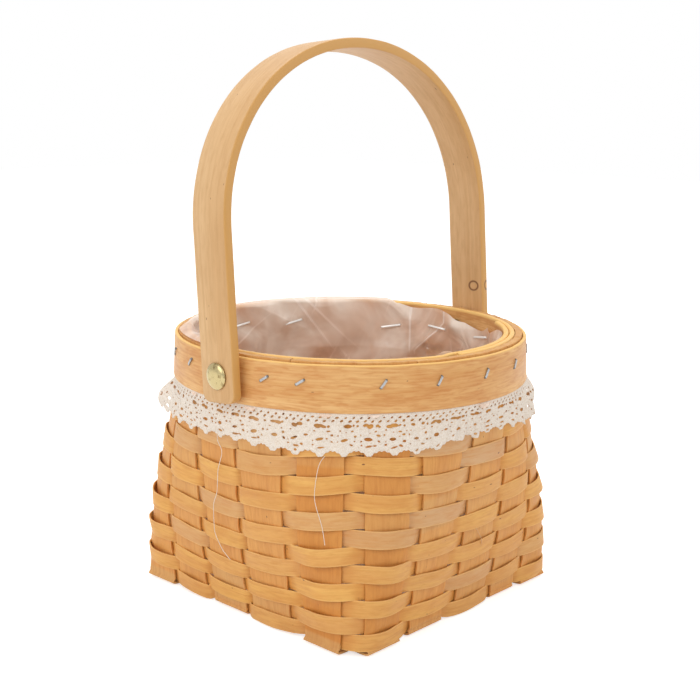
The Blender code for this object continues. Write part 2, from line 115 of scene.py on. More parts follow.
def new_group(kind, name, inputs, outputs):
    """A node group with named inputs and outputs, and its two end nodes."""
    made = bpy.data.node_groups.new(name, kind)
    for way, sockets in (("INPUT", inputs), ("OUTPUT", outputs)):
        for title, form, *start in sockets:
            socket = made.interface.new_socket(
                title, in_out=way, socket_type="NodeSocket" + form)
            if start:
                socket.default_value = start[0]
    return made, made.nodes.new("NodeGroupInput"), made.nodes.new("NodeGroupOutput")


def new_finish(name, values):
    """A material with plain values on its shader, its tree and the shader itself."""
    made = bpy.data.materials.new(name)
    made.use_nodes = True
    shader = made.node_tree.nodes["Principled BSDF"]
    for title, value in values.items():
        shader.inputs[title].default_value = value
    return made, made.node_tree, shader


def linear(red, green, blue):
    """A colour written as 0 to 255 values, as the shader takes it."""
    steps = [value / 255 for value in (red, green, blue)]
    return (*[v / 12.92 if v <= 0.04045 else ((v + 0.055) / 1.055) ** 2.4 for v in steps], 1)


print("helpers are ready")

# %% [markdown]
# The floor and the light come next, so that every later look is a fair one. The
# background is white only for the camera and for what brass, steel and film mirror.
# The object itself is lit by large soft lamps at a plain level.

# %% Floor, light and background
WHITE = (1, 1, 1, 1)
LAMP_TARGET = Vector((0, 0, 0.1))
LAMPS = (  # name, place, size, power, colour
    ("key_lamp", (-0.75, -1.25, 1.35), 0.9, 4.5, (1, 0.98, 0.95)),
    ("side_lamp", (-1.4, 0.2, 0.8), 0.9, 5.5, (1, 0.99, 0.97)),
    ("top_lamp", (0.3, 0.3, 1.6), 1.0, 10, (1, 1, 1)),
    ("fill_lamp", (1.1, -1.2, 0.7), 0.9, 2.5, (1, 0.99, 0.96)))
SKY_POWER, FLOOR_GLOW = 0.60, 0.62
FLOOR_HALF = 3.0
UNLIT_HALF = 0.066


def seen_as_background(tree):
    """One where a ray goes to the camera or comes off gloss or through film."""
    rays = put(tree, "ShaderNodeLightPath")
    first = calc(tree, "MAXIMUM", (rays, "Is Camera Ray"), (rays, "Is Glossy Ray"))
    return calc(tree, "MAXIMUM", first, (rays, "Is Transmission Ray"))


scene.view_settings.view_transform = "Standard"
scene.world = bpy.data.worlds.new("studio")
scene.world.use_nodes = True
tree = scene.world.node_tree
tree.nodes.clear()
soft_sky = put(tree, "ShaderNodeBackground", {
    "Color": (1, 0.985, 0.965, 1), "Strength": SKY_POWER})
white_sky = put(tree, "ShaderNodeBackground", {"Color": WHITE})
chooser = put(tree, "ShaderNodeMixShader", {
    0: seen_as_background(tree), 1: soft_sky, 2: white_sky})
put(tree, "ShaderNodeOutputWorld", {0: chooser})

for name, place, size, power, colour in LAMPS:
    lamp = bpy.data.lights.new(name, "AREA")
    lamp.shape, lamp.size, lamp.energy, lamp.color = "SQUARE", size, power, colour
    facing = (LAMP_TARGET - Vector(place)).to_track_quat("-Z", "Y")
    placed(name, lamp, Matrix.Translation(place) @ facing.to_matrix().to_4x4())

floor_mesh = bpy.data.meshes.new("floor")
floor_mesh.from_pydata(
    [(x * FLOOR_HALF, y * FLOOR_HALF, 0) for x, y in ((-1, -1), (1, -1), (1, 1), (-1, 1))],
    [], [(0, 1, 2, 3)])
floor = placed("floor", floor_mesh)
paper, tree, matt = new_finish("studio_paper", {
    "Base Color": (0.86, 0.855, 0.845, 1), "Roughness": 0.9})
glow = put(tree, "ShaderNodeEmission", {"Color": WHITE, "Strength": FLOOR_GLOW})
lit = put(tree, "ShaderNodeAddShader", {0: matt, 1: glow})

# no glow under the basket, where its gaps would show it as bright spots
lengths = calc(tree, "ABSOLUTE", (put(tree, "ShaderNodeTexCoord"), "Object"), vector=True)
sides = put(tree, "ShaderNodeSeparateXYZ", {0: lengths})
outside = calc(tree, "GREATER_THAN",
               calc(tree, "MAXIMUM", (sides, "X"), (sides, "Y")), UNLIT_HALF)
lit_part = calc(tree, "MULTIPLY", seen_as_background(tree), outside)
pick = put(tree, "ShaderNodeMixShader", {0: lit_part, 1: matt, 2: lit})
wire(tree, pick, tree.nodes["Material Output"], 0)
floor_mesh.materials.append(paper)
print(len(LAMPS), "lamps over a floor", 2 * FLOOR_HALF, "m wide")

# %% [markdown]
# The body is nearly square at the base and a circle under the hoops, and its corners
# ease from one to the other. The same few measures as in the CAD give a point on that
# surface from a face, an arc from the middle of the face and a height.

# %% Shape of the body
RIM_RADIUS = 0.08635
RIM_LEAN_IN = 0.0011
NECK_RADIUS = RIM_RADIUS + RIM_LEAN_IN
BASE_HALF = 0.0768
BELLY = 0.001
HOOP_FOOT_Z = 0.1112
RIM_Z = 0.1333
ROUND_Z = 0.1075
CORNER_ROUND_SHARE = 0.13
CORNER_EASE = 1.2
FIT = 0.0003
FIRST_CORNER = 45


def half_side(z):
    """Half the width across the flats of the middle surface of the uprights."""
    low = np.clip(np.asarray(z, float) / HOOP_FOOT_Z, 0, 1)
    high = np.clip((np.asarray(z, float) - HOOP_FOOT_Z) / (RIM_Z - HOOP_FOOT_Z), 0, None)
    straight = BASE_HALF + (NECK_RADIUS - BASE_HALF) * low
    return straight + BELLY * np.sin(np.pi * low) - RIM_LEAN_IN * high


def corner_radius(z):
    """Radius of the body's corners at a height."""
    share = np.clip(np.asarray(z, float) / ROUND_Z, 0, 1) ** CORNER_EASE
    return half_side(z) * (CORNER_ROUND_SHARE + (1 - CORNER_ROUND_SHARE) * share)


def side_arc(z):
    """Length along the section from the middle of a face to its corner."""
    radius = corner_radius(z)
    return half_side(z) - radius + radius * math.pi / 4


def face_point(arc, z, out):
    """Depth and breadth of a surface point in the frame of its face."""
    radius = corner_radius(z)
    flat = half_side(z) - radius
    turn = np.maximum(np.abs(arc) - flat, 0) / radius
    breadth = np.sign(arc) * (np.minimum(np.abs(arc), flat) + (radius + out) * np.sin(turn))
    return flat + (radius + out) * np.cos(turn), breadth


def section_point(round_share, z, out=0.0):
    """The point at a share of the way round, counted from the first corner."""
    share, z, out = np.broadcast_arrays(
        np.asarray(round_share, float) % 1, np.asarray(z, float), np.asarray(out, float))
    face = np.minimum(np.floor(share * 4), 3)
    depth, breadth = face_point(((share * 4 - face) * 2 - 1) * side_arc(z), z, out)
    angle = face * math.pi / 2
    return np.stack([
        depth * np.cos(angle) - breadth * np.sin(angle),
        depth * np.sin(angle) + breadth * np.cos(angle), z], axis=-1)


def unit(vectors):
    """Vectors made one long."""
    return vectors / np.linalg.norm(vectors, axis=-1, keepdims=True)


def eased(share):
    """A share held from 0 to 1, with a soft start and a soft end."""
    share = np.clip(share, 0, 1)
    return share * share * (3 - 2 * share)


def bell(away, width):
    """One in the middle, and next to nothing at twice the width away from it."""
    return np.exp(-(away / width) ** 2)


def degrees_from(share, azimuth):
    """How far round a share of the way lies from an azimuth, from -180 to 180."""
    return (share * 360 - FIRST_CORNER - azimuth + 180) % 360 - 180


def window(share, start, finish, soft):
    """One between two azimuths in degrees, eased to nothing outside them."""
    off = np.abs(degrees_from(share, (start + finish) / 2))
    return eased(((finish - start) / 2 + soft / 2 - off) / soft)


def smooth_through(knots, values, places):
    """A smooth curve through knots, flat where the values turn back."""
    knots = np.asarray(knots, float)
    values = np.asarray(values, float)
    rise = np.diff(values) / np.diff(knots)
    slope = np.zeros(len(knots))
    same = rise[:-1] * rise[1:] > 0
    slope[1:-1][same] = 2 * rise[:-1][same] * rise[1:][same] / (rise[:-1] + rise[1:])[same]
    found = np.clip(np.searchsorted(knots, places, side="right") - 1, 0, len(knots) - 2)
    step = np.diff(knots)[found]
    part = (places - knots[found]) / step
    return ((2 * part**3 - 3 * part**2 + 1) * values[found]
            + (part**3 - 2 * part**2 + part) * step * slope[found]
            + (3 * part**2 - 2 * part**3) * values[found + 1]
            + (part**3 - part**2) * step * slope[found + 1])


def slow_waves(places, seed, waves, size):
    """A seeded sum of whole waves round the basket, for places from 0 to 1."""
    chance = np.random.default_rng(seed)
    total = np.zeros(len(places))
    for count in waves:
        total += chance.normal() * np.sin(2 * math.pi * (count * places + chance.random()))
    return size * total / math.sqrt(len(waves) / 2)


print("half side at base, neck and rim",
      [round(float(half_side(z)), 4) for z in (0, HOOP_FOOT_Z, RIM_Z)])

# %% [markdown]
# Nearly everything here is a bent strip of wood: weavers, hoops and handle. On the real
# basket they are cut flat, steamed and bent. A sweep along a curve makes them, but each
# needs its own outward side, so one Geometry Nodes tree reads a line whose points carry
# their outward direction, sweeps a rounded profile along it and roughens the edges.
# The sweep also leaves a "strip" attribute on every point, along and across the wood in
# metres, so that the grain in the materials follows each bend.

# %% Geometry Nodes tree for a bent strip
def read(tree, name, kind="FLOAT_VECTOR"):
    """A named attribute, as a feed."""
    return put(tree, "GeometryNodeInputNamedAttribute", {"Name": name},
               data_type=kind), "Attribute"


def stored(tree, name, shape, value, kind="FLOAT_VECTOR"):
    """A node that stores a named attribute on points."""
    return put(tree, "GeometryNodeStoreNamedAttribute", {
        "Geometry": shape, "Name": name, "Value": value}, data_type=kind, domain="POINT")


def new_maker(name, *inputs):
    """A Geometry Nodes tree with a mesh in, a mesh out, and numbers and a material in."""
    return new_group(
        "GeometryNodeTree", name,
        [("Geometry", "Geometry")] + [(title, "Float") for title in inputs]
        + [("Material", "Material")], [("Geometry", "Geometry")])


def close_maker(tree, start, end, shape):
    """Ends a tree as all of them end: instances made real, then the material."""
    real = put(tree, "GeometryNodeRealizeInstances", {"Geometry": shape})
    wire(tree, put(tree, "GeometryNodeSetMaterial", {
        "Geometry": real, "Material": (start, "Material")}), end, 0)
    return tree


def rounded_profile(tree, height, width, radius, count):
    """A rectangle with rounded corners, for a sweep."""
    flat = put(tree, "GeometryNodeCurvePrimitiveQuadrilateral", {
        "Height": height, "Width": width})
    return put(tree, "GeometryNodeFilletCurve", {
        "Curve": flat, "Radius": radius, "Count": count}, mode="POLY")


def strip_tree():
    """Sweeps a rounded profile along a line of points with outward and across directions."""
    tree, start, end = new_maker(
        "bent_strip", "Width", "Thickness", "Edge Round", "Wobble", "Wobble Scale", "Seed")
    line = put(tree, "GeometryNodeMeshToCurve", {"Mesh": (start, "Geometry")})
    facing = put(tree, "GeometryNodeSetCurveNormal", {
        "Curve": line, "Normal": read(tree, "outward")}, mode="FREE")
    here = put(tree, "GeometryNodeInputPosition")
    spine = stored(tree, "spine", facing, here)
    run = put(tree, "GeometryNodeSplineParameter")
    along = stored(tree, "along", spine, (run, "Length"), "FLOAT")
    profile = rounded_profile(
        tree, (start, "Width"), (start, "Thickness"), (start, "Edge Round"), 3)
    sweep = put(tree, "GeometryNodeCurveToMesh", {
        "Curve": along, "Profile Curve": stored(tree, "profile", profile, here),
        "Fill Caps": True})

    # the width of a rounded end is drawn in towards the spine
    away = calc(tree, "SUBTRACT", here, read(tree, "spine"), vector=True)
    sideways = read(tree, "sideways")
    reach = calc(tree, "DOT_PRODUCT", away, sideways, vector=True)
    less = calc(tree, "SUBTRACT", read(tree, "wide_share", "FLOAT"), 1)
    pull = calc(tree, "MULTIPLY", (reach, "Value"), less)
    shaped = put(tree, "GeometryNodeSetPosition", {
        "Geometry": sweep, "Offset": calc(tree, "SCALE", sideways, pull, vector=True)})

    # a seeded noise roughens the strip
    noise = put(tree, "ShaderNodeTexNoise", {
        "Vector": here, "W": (start, "Seed"), "Scale": (start, "Wobble Scale")},
        noise_dimensions="4D")
    middle = calc(tree, "SUBTRACT", (noise, "Color"), (0.5, 0.5, 0.5), vector=True)
    rough = put(tree, "GeometryNodeSetPosition", {
        "Geometry": shaped, "Offset": calc(tree, "SCALE", middle, (start, "Wobble"),
                                           vector=True)})

    # along the wood, across it and through it, in metres
    parts = put(tree, "ShaderNodeSeparateXYZ", {0: read(tree, "profile")})
    place = put(tree, "ShaderNodeCombineXYZ", {
        "X": read(tree, "along", "FLOAT"), "Y": (parts, "Y"), "Z": (parts, "X")})
    strip = stored(tree, "strip", rough, place)
    smooth = put(tree, "GeometryNodeSetShadeSmooth", {"Geometry": strip})
    return close_maker(tree, start, end, smooth)


BENT_STRIP = strip_tree()


def keep(mesh, name, values, vector=False):
    """Stores a number or a vector for every point of a mesh, for trees and finishes."""
    layer = mesh.attributes.new(name, "FLOAT_VECTOR" if vector else "FLOAT", "POINT")
    if vector:
        layer.data.foreach_set("vector", np.asarray(values, np.float32).ravel())
    else:
        layer.data.foreach_set("value", np.broadcast_to(
            np.asarray(values, np.float32), len(mesh.vertices)).copy())


def run_tree(name, mesh, tree, values):
    """Runs a tree once on a mesh and gives the result as a plain object."""
    holder = placed(name + "_line", mesh)
    modifier = holder.modifiers.new("maker", "NODES")
    modifier.node_group = tree
    for item in tree.interface.items_tree:
        if item.in_out == "INPUT" and item.name in values:
            modifier[item.identifier] = values[item.name]
    graph = bpy.context.evaluated_depsgraph_get()
    plain = bpy.data.meshes.new_from_object(holder.evaluated_get(graph))
    bpy.data.objects.remove(holder)
    plain.name = name
    return placed(name, plain)


def bend(name, line, sizes, wobble, seed, finish):
    """A strip bent along points with outward and sideways directions and a width share.

    The sizes are its width, thickness and edge rounding, the wobble its depth and scale."""
    points, outward, sideways, wide_share = line
    mesh = bpy.data.meshes.new(name + "_line")
    mesh.from_pydata([tuple(p) for p in points],
                     [(i, i + 1) for i in range(len(points) - 1)], [])
    keep(mesh, "outward", outward, True)
    keep(mesh, "sideways", sideways, True)
    keep(mesh, "wide_share", wide_share)
    return run_tree(name, mesh, BENT_STRIP, {
        "Width": sizes[0], "Thickness": sizes[1], "Edge Round": sizes[2],
        "Wobble": wobble[0], "Wobble Scale": wobble[1], "Seed": seed, "Material": finish})


def hand_over(piece, slot, *nodes, body="basket"):
    """Hides the CAD nodes that a piece stands for and puts the piece on its body. The slot is
    not used.
    """
    if nodes:
        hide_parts(*nodes)
    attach(piece, body)
    return piece


print("strip tree has", len(BENT_STRIP.nodes), "nodes")

# %% [markdown]
# The twenty uprights are not evenly placed: someone bent them up by hand. Each has its own
# width and its own place on its side, and the weavers pass over one and under the next.
# The rows have sunk in the middle of each face, most of all half way up.

# %% Uprights in their order round the basket
STAKE_THICK = 0.0009
SPLINTS = {  # width, and place as a share of the way from the middle of a face
    "x": ((0.022, -0.765), (0.0255, -0.313), (0.023, 0.085), (0.020, 0.46), (0.0205, 0.80)),
    "y": ((0.0215, -0.80), (0.024, -0.382), (0.0235, 0.074), (0.0195, 0.44), (0.0205, 0.79))}
CORNER_SHARE = 0.7
WEAVER_ROWS = 16
WEAVER_WIDTH = 0.0076
WEAVER_THICK = 0.0007
WEAVER_GAP = 0.00048
FIRST_ROW_Z = 0.003
ROW_PITCH = WEAVER_WIDTH + WEAVER_GAP
SKIN = STAKE_THICK / 2 + FIT + WEAVER_THICK
HOOP_GAP = 0.0004
HOOP_OFFSET = SKIN + HOOP_GAP
WIDEST_STAKE = max(width for pairs in SPLINTS.values() for width, _ in pairs)
SPLINT_SAG = RIM_RADIUS - math.sqrt(RIM_RADIUS**2 - (WIDEST_STAKE / 2) ** 2)
SAG_OF_FACES = (0.5, 0.6, 1.0, 0.76)
SAG_LEVELS = (0, 0.0068, 0.020, 0.035, 0.055, 0.080, 0.096, 0.1085)
SAG_DEPTHS = (0.0022, 0.0025, 0.0046, 0.0064, 0.0066, 0.0058, 0.0030, 0.0)
SAG_POWER = 1.5


def uprights_round():
    """Each upright on the way round: its face, place share and half its width."""
    order = []
    for face in range(4):
        side = -1 if face in (1, 2) else 1
        places = sorted((side * share, width / 2) for width, share in SPLINTS["xy"[face % 2]])
        order += [(face, share, half) for share, half in places]
    return order


UPRIGHTS = uprights_round()


def row_middle(row):
    """Height of the middle of a row of weaving, counted from 0."""
    return FIRST_ROW_Z + WEAVER_WIDTH / 2 + row * ROW_PITCH


def row_sag(share, z):
    """How far the rows have sunk in the middle of a face, at a share of the way round."""
    turn = np.asarray(share, float) * 4 % 4
    face = np.minimum(np.floor(turn), 3).astype(int)
    depth = np.interp(z, SAG_LEVELS, SAG_DEPTHS) * np.asarray(SAG_OF_FACES)[face]
    return depth * np.clip(np.sin(math.pi * (turn - face)), 0, 1) ** SAG_POWER


def passes_outside(upright, row):
    """True where a row goes over the outside of an upright."""
    return (upright + row) % 2 == 1


print(len(UPRIGHTS), "uprights, rows", ROW_PITCH * 1000, "mm apart")

# %% [markdown]
# Wood needs three things in its finish: fine fibres, a broad figure that changes the tone
# along the strip, and a few dark specks. All three are noise, stretched along the strip.
# They are one shader node group, which every wood uses with its own scale.

# %% Wood grain as a shader node group
# deep orange: a tone of some splints, and painted shade where the weavers pass inside
RIPE_AND_SHADE_TONE = linear(212, 137, 52)
SPECK_TONE = linear(128, 78, 44)
KNOT_TONE = linear(112, 68, 36)
SKIN_DEPTH = 0.0002


def ranged(tree, feed, low, high, low_to=0.0, high_to=1.0):
    """A value spread from one range to another and held inside it."""
    return put(tree, "ShaderNodeMapRange", {
        "Value": feed, "From Min": low, "From Max": high, "To Min": low_to,
        "To Max": high_to}, clamp=True)


def blended(tree, first, second, factor):
    """Two colours mixed by a value."""
    return put(tree, "ShaderNodeMix", {0: factor, 6: first, 7: second}, data_type="RGBA"), 2


def noise(tree, source, scale, detail, distortion=0.0, roughness=0.5):
    """A noise over some coordinates."""
    return put(tree, "ShaderNodeTexNoise", {
        "Vector": source, "Scale": scale, "Detail": detail, "Distortion": distortion,
        "Roughness": roughness})


def kept(tree, name, out="Fac"):
    """A number or a vector that the mesh keeps, as a feed."""
    return put(tree, "ShaderNodeAttribute", attribute_name=name), out


def add_relief(tree, shader, height, strength, depth=SKIN_DEPTH, invert=False):
    """Relief on a shader from a height."""
    wire(tree, put(tree, "ShaderNodeBump", {
        "Height": height, "Strength": strength, "Distance": depth}, invert=invert),
        shader, "Normal")


def grain_group():
    """Fibres, figure, clouds and specks from strip coordinates in metres."""
    tree, start, end = new_group("ShaderNodeTree", "wood_grain", (
        ("Vector", "Vector"), ("Tone", "Float", 0.5), ("Fibres a Metre", "Float", 2200.0),
        ("Stretch", "Float", 34.0)),
        [(title, "Float") for title in ("Fibre", "Figure", "Cloud", "Fleck", "Speck", "Height")])
    apart = calc(tree, "SCALE", (3.1, 1.7, 5.3), (start, "Tone"), vector=True)
    moved = calc(tree, "ADD", (start, "Vector"), apart, vector=True)
    fibres = (start, "Fibres a Metre")
    sizes = put(tree, "ShaderNodeCombineXYZ", {
        "X": calc(tree, "DIVIDE", fibres, (start, "Stretch")), "Y": fibres, "Z": fibres})
    stretched = calc(tree, "MULTIPLY", moved, sizes, vector=True)
    fibre = ranged(tree, noise(tree, stretched, 1.0, 3.0), 0.34, 0.66)
    medium = noise(tree, stretched, 0.30, 3.0, 0.5)
    broad = noise(tree, stretched, 0.07, 1.0, 0.8)
    wire(tree, fibre, end, "Fibre")
    wire(tree, ranged(tree, calc(tree, "ADD", medium, broad), 0.78, 1.22), end, "Figure")
    wire(tree, calc(tree, "ADD", fibre, medium), end, "Height")
    for title, along, over, detail, bent, low, high in (
            ("Cloud", 30.0, 75.0, 2.0, 0.6, 0.44, 0.70),
            ("Fleck", 130.0, 620.0, 3.0, 0.4, 0.46, 0.68),
            ("Speck", 330.0, 900.0, 0.0, 0.0, 0.86, 0.90)):
        spread = calc(tree, "MULTIPLY", moved, (along, over, over), vector=True)
        wire(tree, ranged(tree, noise(tree, spread, 1.0, detail, bent), low, high), end, title)
    return tree


WOOD_GRAIN = grain_group()


def wood(name, tones, fibres, stretch, contrast, roughness, bump, edge, top_only=False):
    """A wood finish along a strip, from deep, common, pale and weathered tones.

    The edge is where a tone along the edges starts and is full, the tone and its share; on
    weavers and hoops it is a painted highlight."""
    deep, common, pale, worn = (linear(*tone) for tone in tones)
    made, tree, shader = new_finish(name, {})
    strip = kept(tree, "strip", "Vector")
    grain = put(tree, "ShaderNodeGroup", node_tree=WOOD_GRAIN)
    for socket, feed in (("Fibres a Metre", fibres), ("Stretch", stretch),
                         ("Vector", strip), ("Tone", kept(tree, "tone"))):
        wire(tree, feed, grain, socket)
    tone = blended(tree, common, pale, (grain, "Figure"))
    # deep orange: the splints' own tone, and painted shade on the weavers' inner passes
    tone = blended(tree, tone, RIPE_AND_SHADE_TONE, kept(tree, "ripe_and_shade"))
    tone = blended(tree, tone, worn, kept(tree, "weather"))
    for title, full, at_low, at_full in (
            ("Cloud", 1.0, 0.0, 1.1), ("Fibre", 0.6, 1.0, 0.0), ("Fleck", 1.0, 0.0, 1.2)):
        tone = blended(tree, tone, deep, ranged(
            tree, (grain, title), 0.0, full, at_low * contrast, at_full * contrast))
    tone = blended(tree, tone, SPECK_TONE, (grain, "Speck"))
    # a tone along the strip's edges, or along its top edge only: a painted highlight on weavers
    # and hoops, a deeper gold on the handle
    if edge:
        start, finish, colour, share = edge
        parts = put(tree, "ShaderNodeSeparateXYZ", {0: strip})
        away = calc(tree, "MULTIPLY" if top_only else "ABSOLUTE", (parts, "Y"), -1.0)
        tone = blended(tree, tone, linear(*colour),
                       ranged(tree, away, start, finish, 0.0, share))
    wire(tree, tone, shader, "Base Color")
    wire(tree, ranged(tree, (grain, "Figure"), 0.0, 1.0, roughness - 0.06, roughness + 0.06),
         shader, "Roughness")
    add_relief(tree, shader, (grain, "Height"), bump)
    return made


# the weavers' paler edges are a painted highlight
WEAVER_WOOD = wood(
    "weaver_wood", ((202, 130, 54), (226, 163, 82), (237, 181, 96), (214, 169, 120)),
    1700.0, 20.0, 0.27, 0.55, 0.28,
    (WEAVER_WIDTH / 2 - 0.0006, WEAVER_WIDTH / 2 - 0.0001, (244, 196, 122), 0.5))
SPLINT_WOOD = wood(
    "splint_wood", ((188, 110, 42), (220, 154, 78), (232, 171, 95), (222, 172, 106)),
    1300.0, 20.0, 0.20, 0.58, 0.2, None)
# the hoops' paler top edge is a painted highlight
HOOP_WOOD = wood(
    "hoop_wood", ((200, 126, 56), (222, 167, 100), (237, 189, 126), (226, 180, 126)),
    1250.0, 20.0, 0.44, 0.5, 0.25, (0.0101, 0.0108, (250, 204, 122), 0.9), True)
HANDLE_WOOD = wood(
    "handle_wood", ((190, 142, 86), (213, 168, 114), (224, 184, 134), (205, 168, 122)),
    1000.0, 60.0, 0.22, 0.48, 0.2, (0.0103, 0.0109, (212, 158, 82), 0.85))
KNOTS = (  # place along, across and through the strip, and half the ring's size each way
    ((0.0353, -0.0050, -0.0025), (0.0025, 0.0030, 0.0033)),
    ((0.0355, -0.0110, 0.0016), (0.0024, 0.0022, 0.0017)))


def add_knot(finish, spot, halves):
    """A small dark ring in a wood, where a twig once grew, at a spot of the strip."""
    tree = finish.node_tree
    shader = tree.nodes["Principled BSDF"]
    wooden = shader.inputs["Base Color"].links[0].from_node
    away = calc(tree, "SUBTRACT", kept(tree, "strip", "Vector"), spot, vector=True)
    away = calc(tree, "MULTIPLY", away, tuple(1 / half for half in halves), vector=True)
    off_ring = calc(tree, "SUBTRACT", (calc(tree, "LENGTH", away, vector=True), "Value"), 1.0)
    ring = ranged(tree, calc(tree, "ABSOLUTE", off_ring), 0.08, 0.30, 0.85, 0.0)
    wire(tree, blended(tree, (wooden, 2), KNOT_TONE, ring), shader, "Base Color")


for spot, halves in KNOTS:
    add_knot(HANDLE_WOOD, spot, halves)
print("woods", [m.name for m in (WEAVER_WOOD, SPLINT_WOOD, HOOP_WOOD, HANDLE_WOOD)])

# %% [markdown]
# Each splint is one flat strip that runs down a side, folds under, crosses the base in
# plain weave and comes up the other side. It wraps round the body's corners across its
# width too, so a plain sweep won't do: its skin is worked out point by point, with the
# same surface function that the weavers use, and so the two never cut into each other.

# %% Surface of a splint
FLOOR_Z = STAKE_THICK + FIT / 2
CROSS_LIFT = (STAKE_THICK + FIT) / 2
FOOT_BEND = 0.0032
FOOT_SQUARE = 0.8
FOOT_BULGE, CORNER_FOOT_BULGE = 0.0016, 0.0030
STAKE_TOP_Z = RIM_Z + 0.0008
HEAD_Z = 0.1321
HEAD_FRONT, HEAD_BACK = 0.0012, 0.0013
HEAD_GAP = 0.0001
ACROSS_STEPS, SIDE_STEPS, BASE_STEPS = 12, 90, 120
GIVE = 0.00026
PUSH = 0.001
BRICKS = 60
WORN_CHANCE = 0.3
FACE_OF = {("x", 1): 0, ("x", -1): 2, ("y", 1): 1, ("y", -1): 3}


def upright_wave(upright, z):
    """How far an upright gives way, in where a weaver holds it and out between."""
    face, share, _ = UPRIGHTS[upright]
    way = (face + (share + 1) / 2) / 4
    level = z + row_sag(way, z + row_sag(way, z))
    swing = np.cos(math.pi * (level - row_middle(0)) / ROW_PITCH)
    fade = np.clip((RIM_Z - 0.02 - z) / 0.02, 0.3, 1) * np.clip(z / 0.008, 0, 1)
    return (-GIVE if passes_outside(upright, 0) else GIVE) * swing * fade


def head_growth(upright):
    """How much wider an upright's head is on each side, to just miss its neighbours."""
    arc = float(side_arc(RIM_Z))
    places = [((face + (share + 1) / 2) * 2 * arc, half) for face, share, half in UPRIGHTS]
    here, half = places[upright]
    growth = []
    for step in (-1, 1):
        there, other = places[(upright + step) % len(places)]
        gap = (step * (there - here)) % (8 * arc) - half - other
        growth.append(1 + (gap / 2 - HEAD_GAP) / half)
    return growth


def grid_of(*parts):
    """Points, or directions, as a grid from their three parts."""
    return np.stack(np.broadcast_arrays(*parts), axis=-1)


def splint_side(axis, share, across, end, inner_edge, chance):
    """Middle points and outward pushes of one upright and its foot, from the top down."""
    own = (share if axis == "x" else -share) * end
    upright = next(i for i, (face, place, _) in enumerate(UPRIGHTS)
                   if face == FACE_OF[axis, end] and abs(place - own) < 1e-9)
    before, after = head_growth(upright)
    z = np.linspace(STAKE_TOP_Z, FLOOR_Z + FOOT_BEND, SIDE_STEPS)[:, None]
    spread = np.where(z > HEAD_Z, np.where(across * end > 0, after, before), 1)
    arc = own * side_arc(z) + across * end * spread
    wave = upright_wave(upright, z)
    depth, breadth = face_point(arc, z, wave)
    far_depth, far_breadth = face_point(arc, z, PUSH + wave)
    flat_depth = half_side(z) + 0.0008 * np.sin(math.pi * np.minimum(z / 0.014, 1))
    ease = eased((z - 0.0025) / 0.006)
    ragged = np.zeros((SIDE_STEPS, 1)) + np.zeros(len(across))
    ragged[0] = chance.uniform(-0.0002, 0.0003, len(across))
    side = grid_of((ease * depth + (1 - ease) * flat_depth) * end,
                   (ease * breadth + (1 - ease) * arc) * end, z + ragged)
    side_push = grid_of((ease * (far_depth - depth) + (1 - ease) * PUSH) * end,
                        ease * (far_breadth - breadth) * end, 0 * arc)
    angle = np.linspace(0, math.pi / 2, 9)[1:, None]
    bulge = CORNER_FOOT_BULGE if abs(own) > CORNER_SHARE else FOOT_BULGE
    foot_depth = (inner_edge + FOOT_BEND * np.cos(angle) ** FOOT_SQUARE
                  + bulge * np.sin(2 * angle))
    foot_z = FLOOR_Z + FOOT_BEND - FOOT_BEND * np.sin(angle) ** FOOT_SQUARE
    foot = grid_of(foot_depth * end, own * float(side_arc(0)) * end + across, foot_z)
    foot_push = grid_of(PUSH * np.cos(angle) * end, 0 * across, -PUSH * np.sin(angle))
    return np.concatenate([side, foot]), np.concatenate([side_push, foot_push])


def splint_grid(axis, index):
    """Middle points and outward directions of one whole splint, and its places across."""
    width, share = SPLINTS[axis][index]
    across = np.linspace(-width / 2, width / 2, ACROSS_STEPS + 1)
    chance = np.random.default_rng(40 + index + 10 * (axis == "x"))
    inner_edge = float(half_side(0)) - FOOT_BEND
    foot_arc = float(side_arc(0))
    one, other = (splint_side(axis, share, across, end, inner_edge, chance)
                  for end in (-1, 1))
    knots, lifts = [-inner_edge], [0.0]
    for cross, (cross_width, cross_share) in enumerate(SPLINTS["y" if axis == "x" else "x"]):
        over = (index + cross + (axis == "y")) % 2 == 0
        middle = cross_share * foot_arc
        knots += [middle - cross_width / 4, middle + cross_width / 4]
        lifts += [CROSS_LIFT if over else -CROSS_LIFT] * 2
    stations = np.linspace(-inner_edge, inner_edge, BASE_STEPS)[1:-1]
    lift = smooth_through(knots + [inner_edge], lifts + [0.0], stations)
    base = grid_of(stations[:, None], (share if axis == "x" else -share) * foot_arc + across,
                   FLOOR_Z + lift[:, None])
    base_push = np.zeros_like(base) + [0, 0, -PUSH]
    turn = 0 if axis == "x" else math.pi / 2
    spin = np.array([[math.cos(turn), -math.sin(turn), 0],
                     [math.sin(turn), math.cos(turn), 0], [0, 0, 1]])
    grid = np.concatenate([one[0], base, other[0][::-1]]) @ spin.T
    return grid, unit(np.concatenate([one[1], base_push, other[1][::-1]])) @ spin.T, across


print("a splint's grid is", splint_grid("x", 0)[0].shape)


# %% [markdown]
# The surface gets a front and a back skin, and slightly uneven edges. How far each point
# lies down the splint and across it is kept for the grain, and so is how much each
# brick of it, two rows long, has weathered.

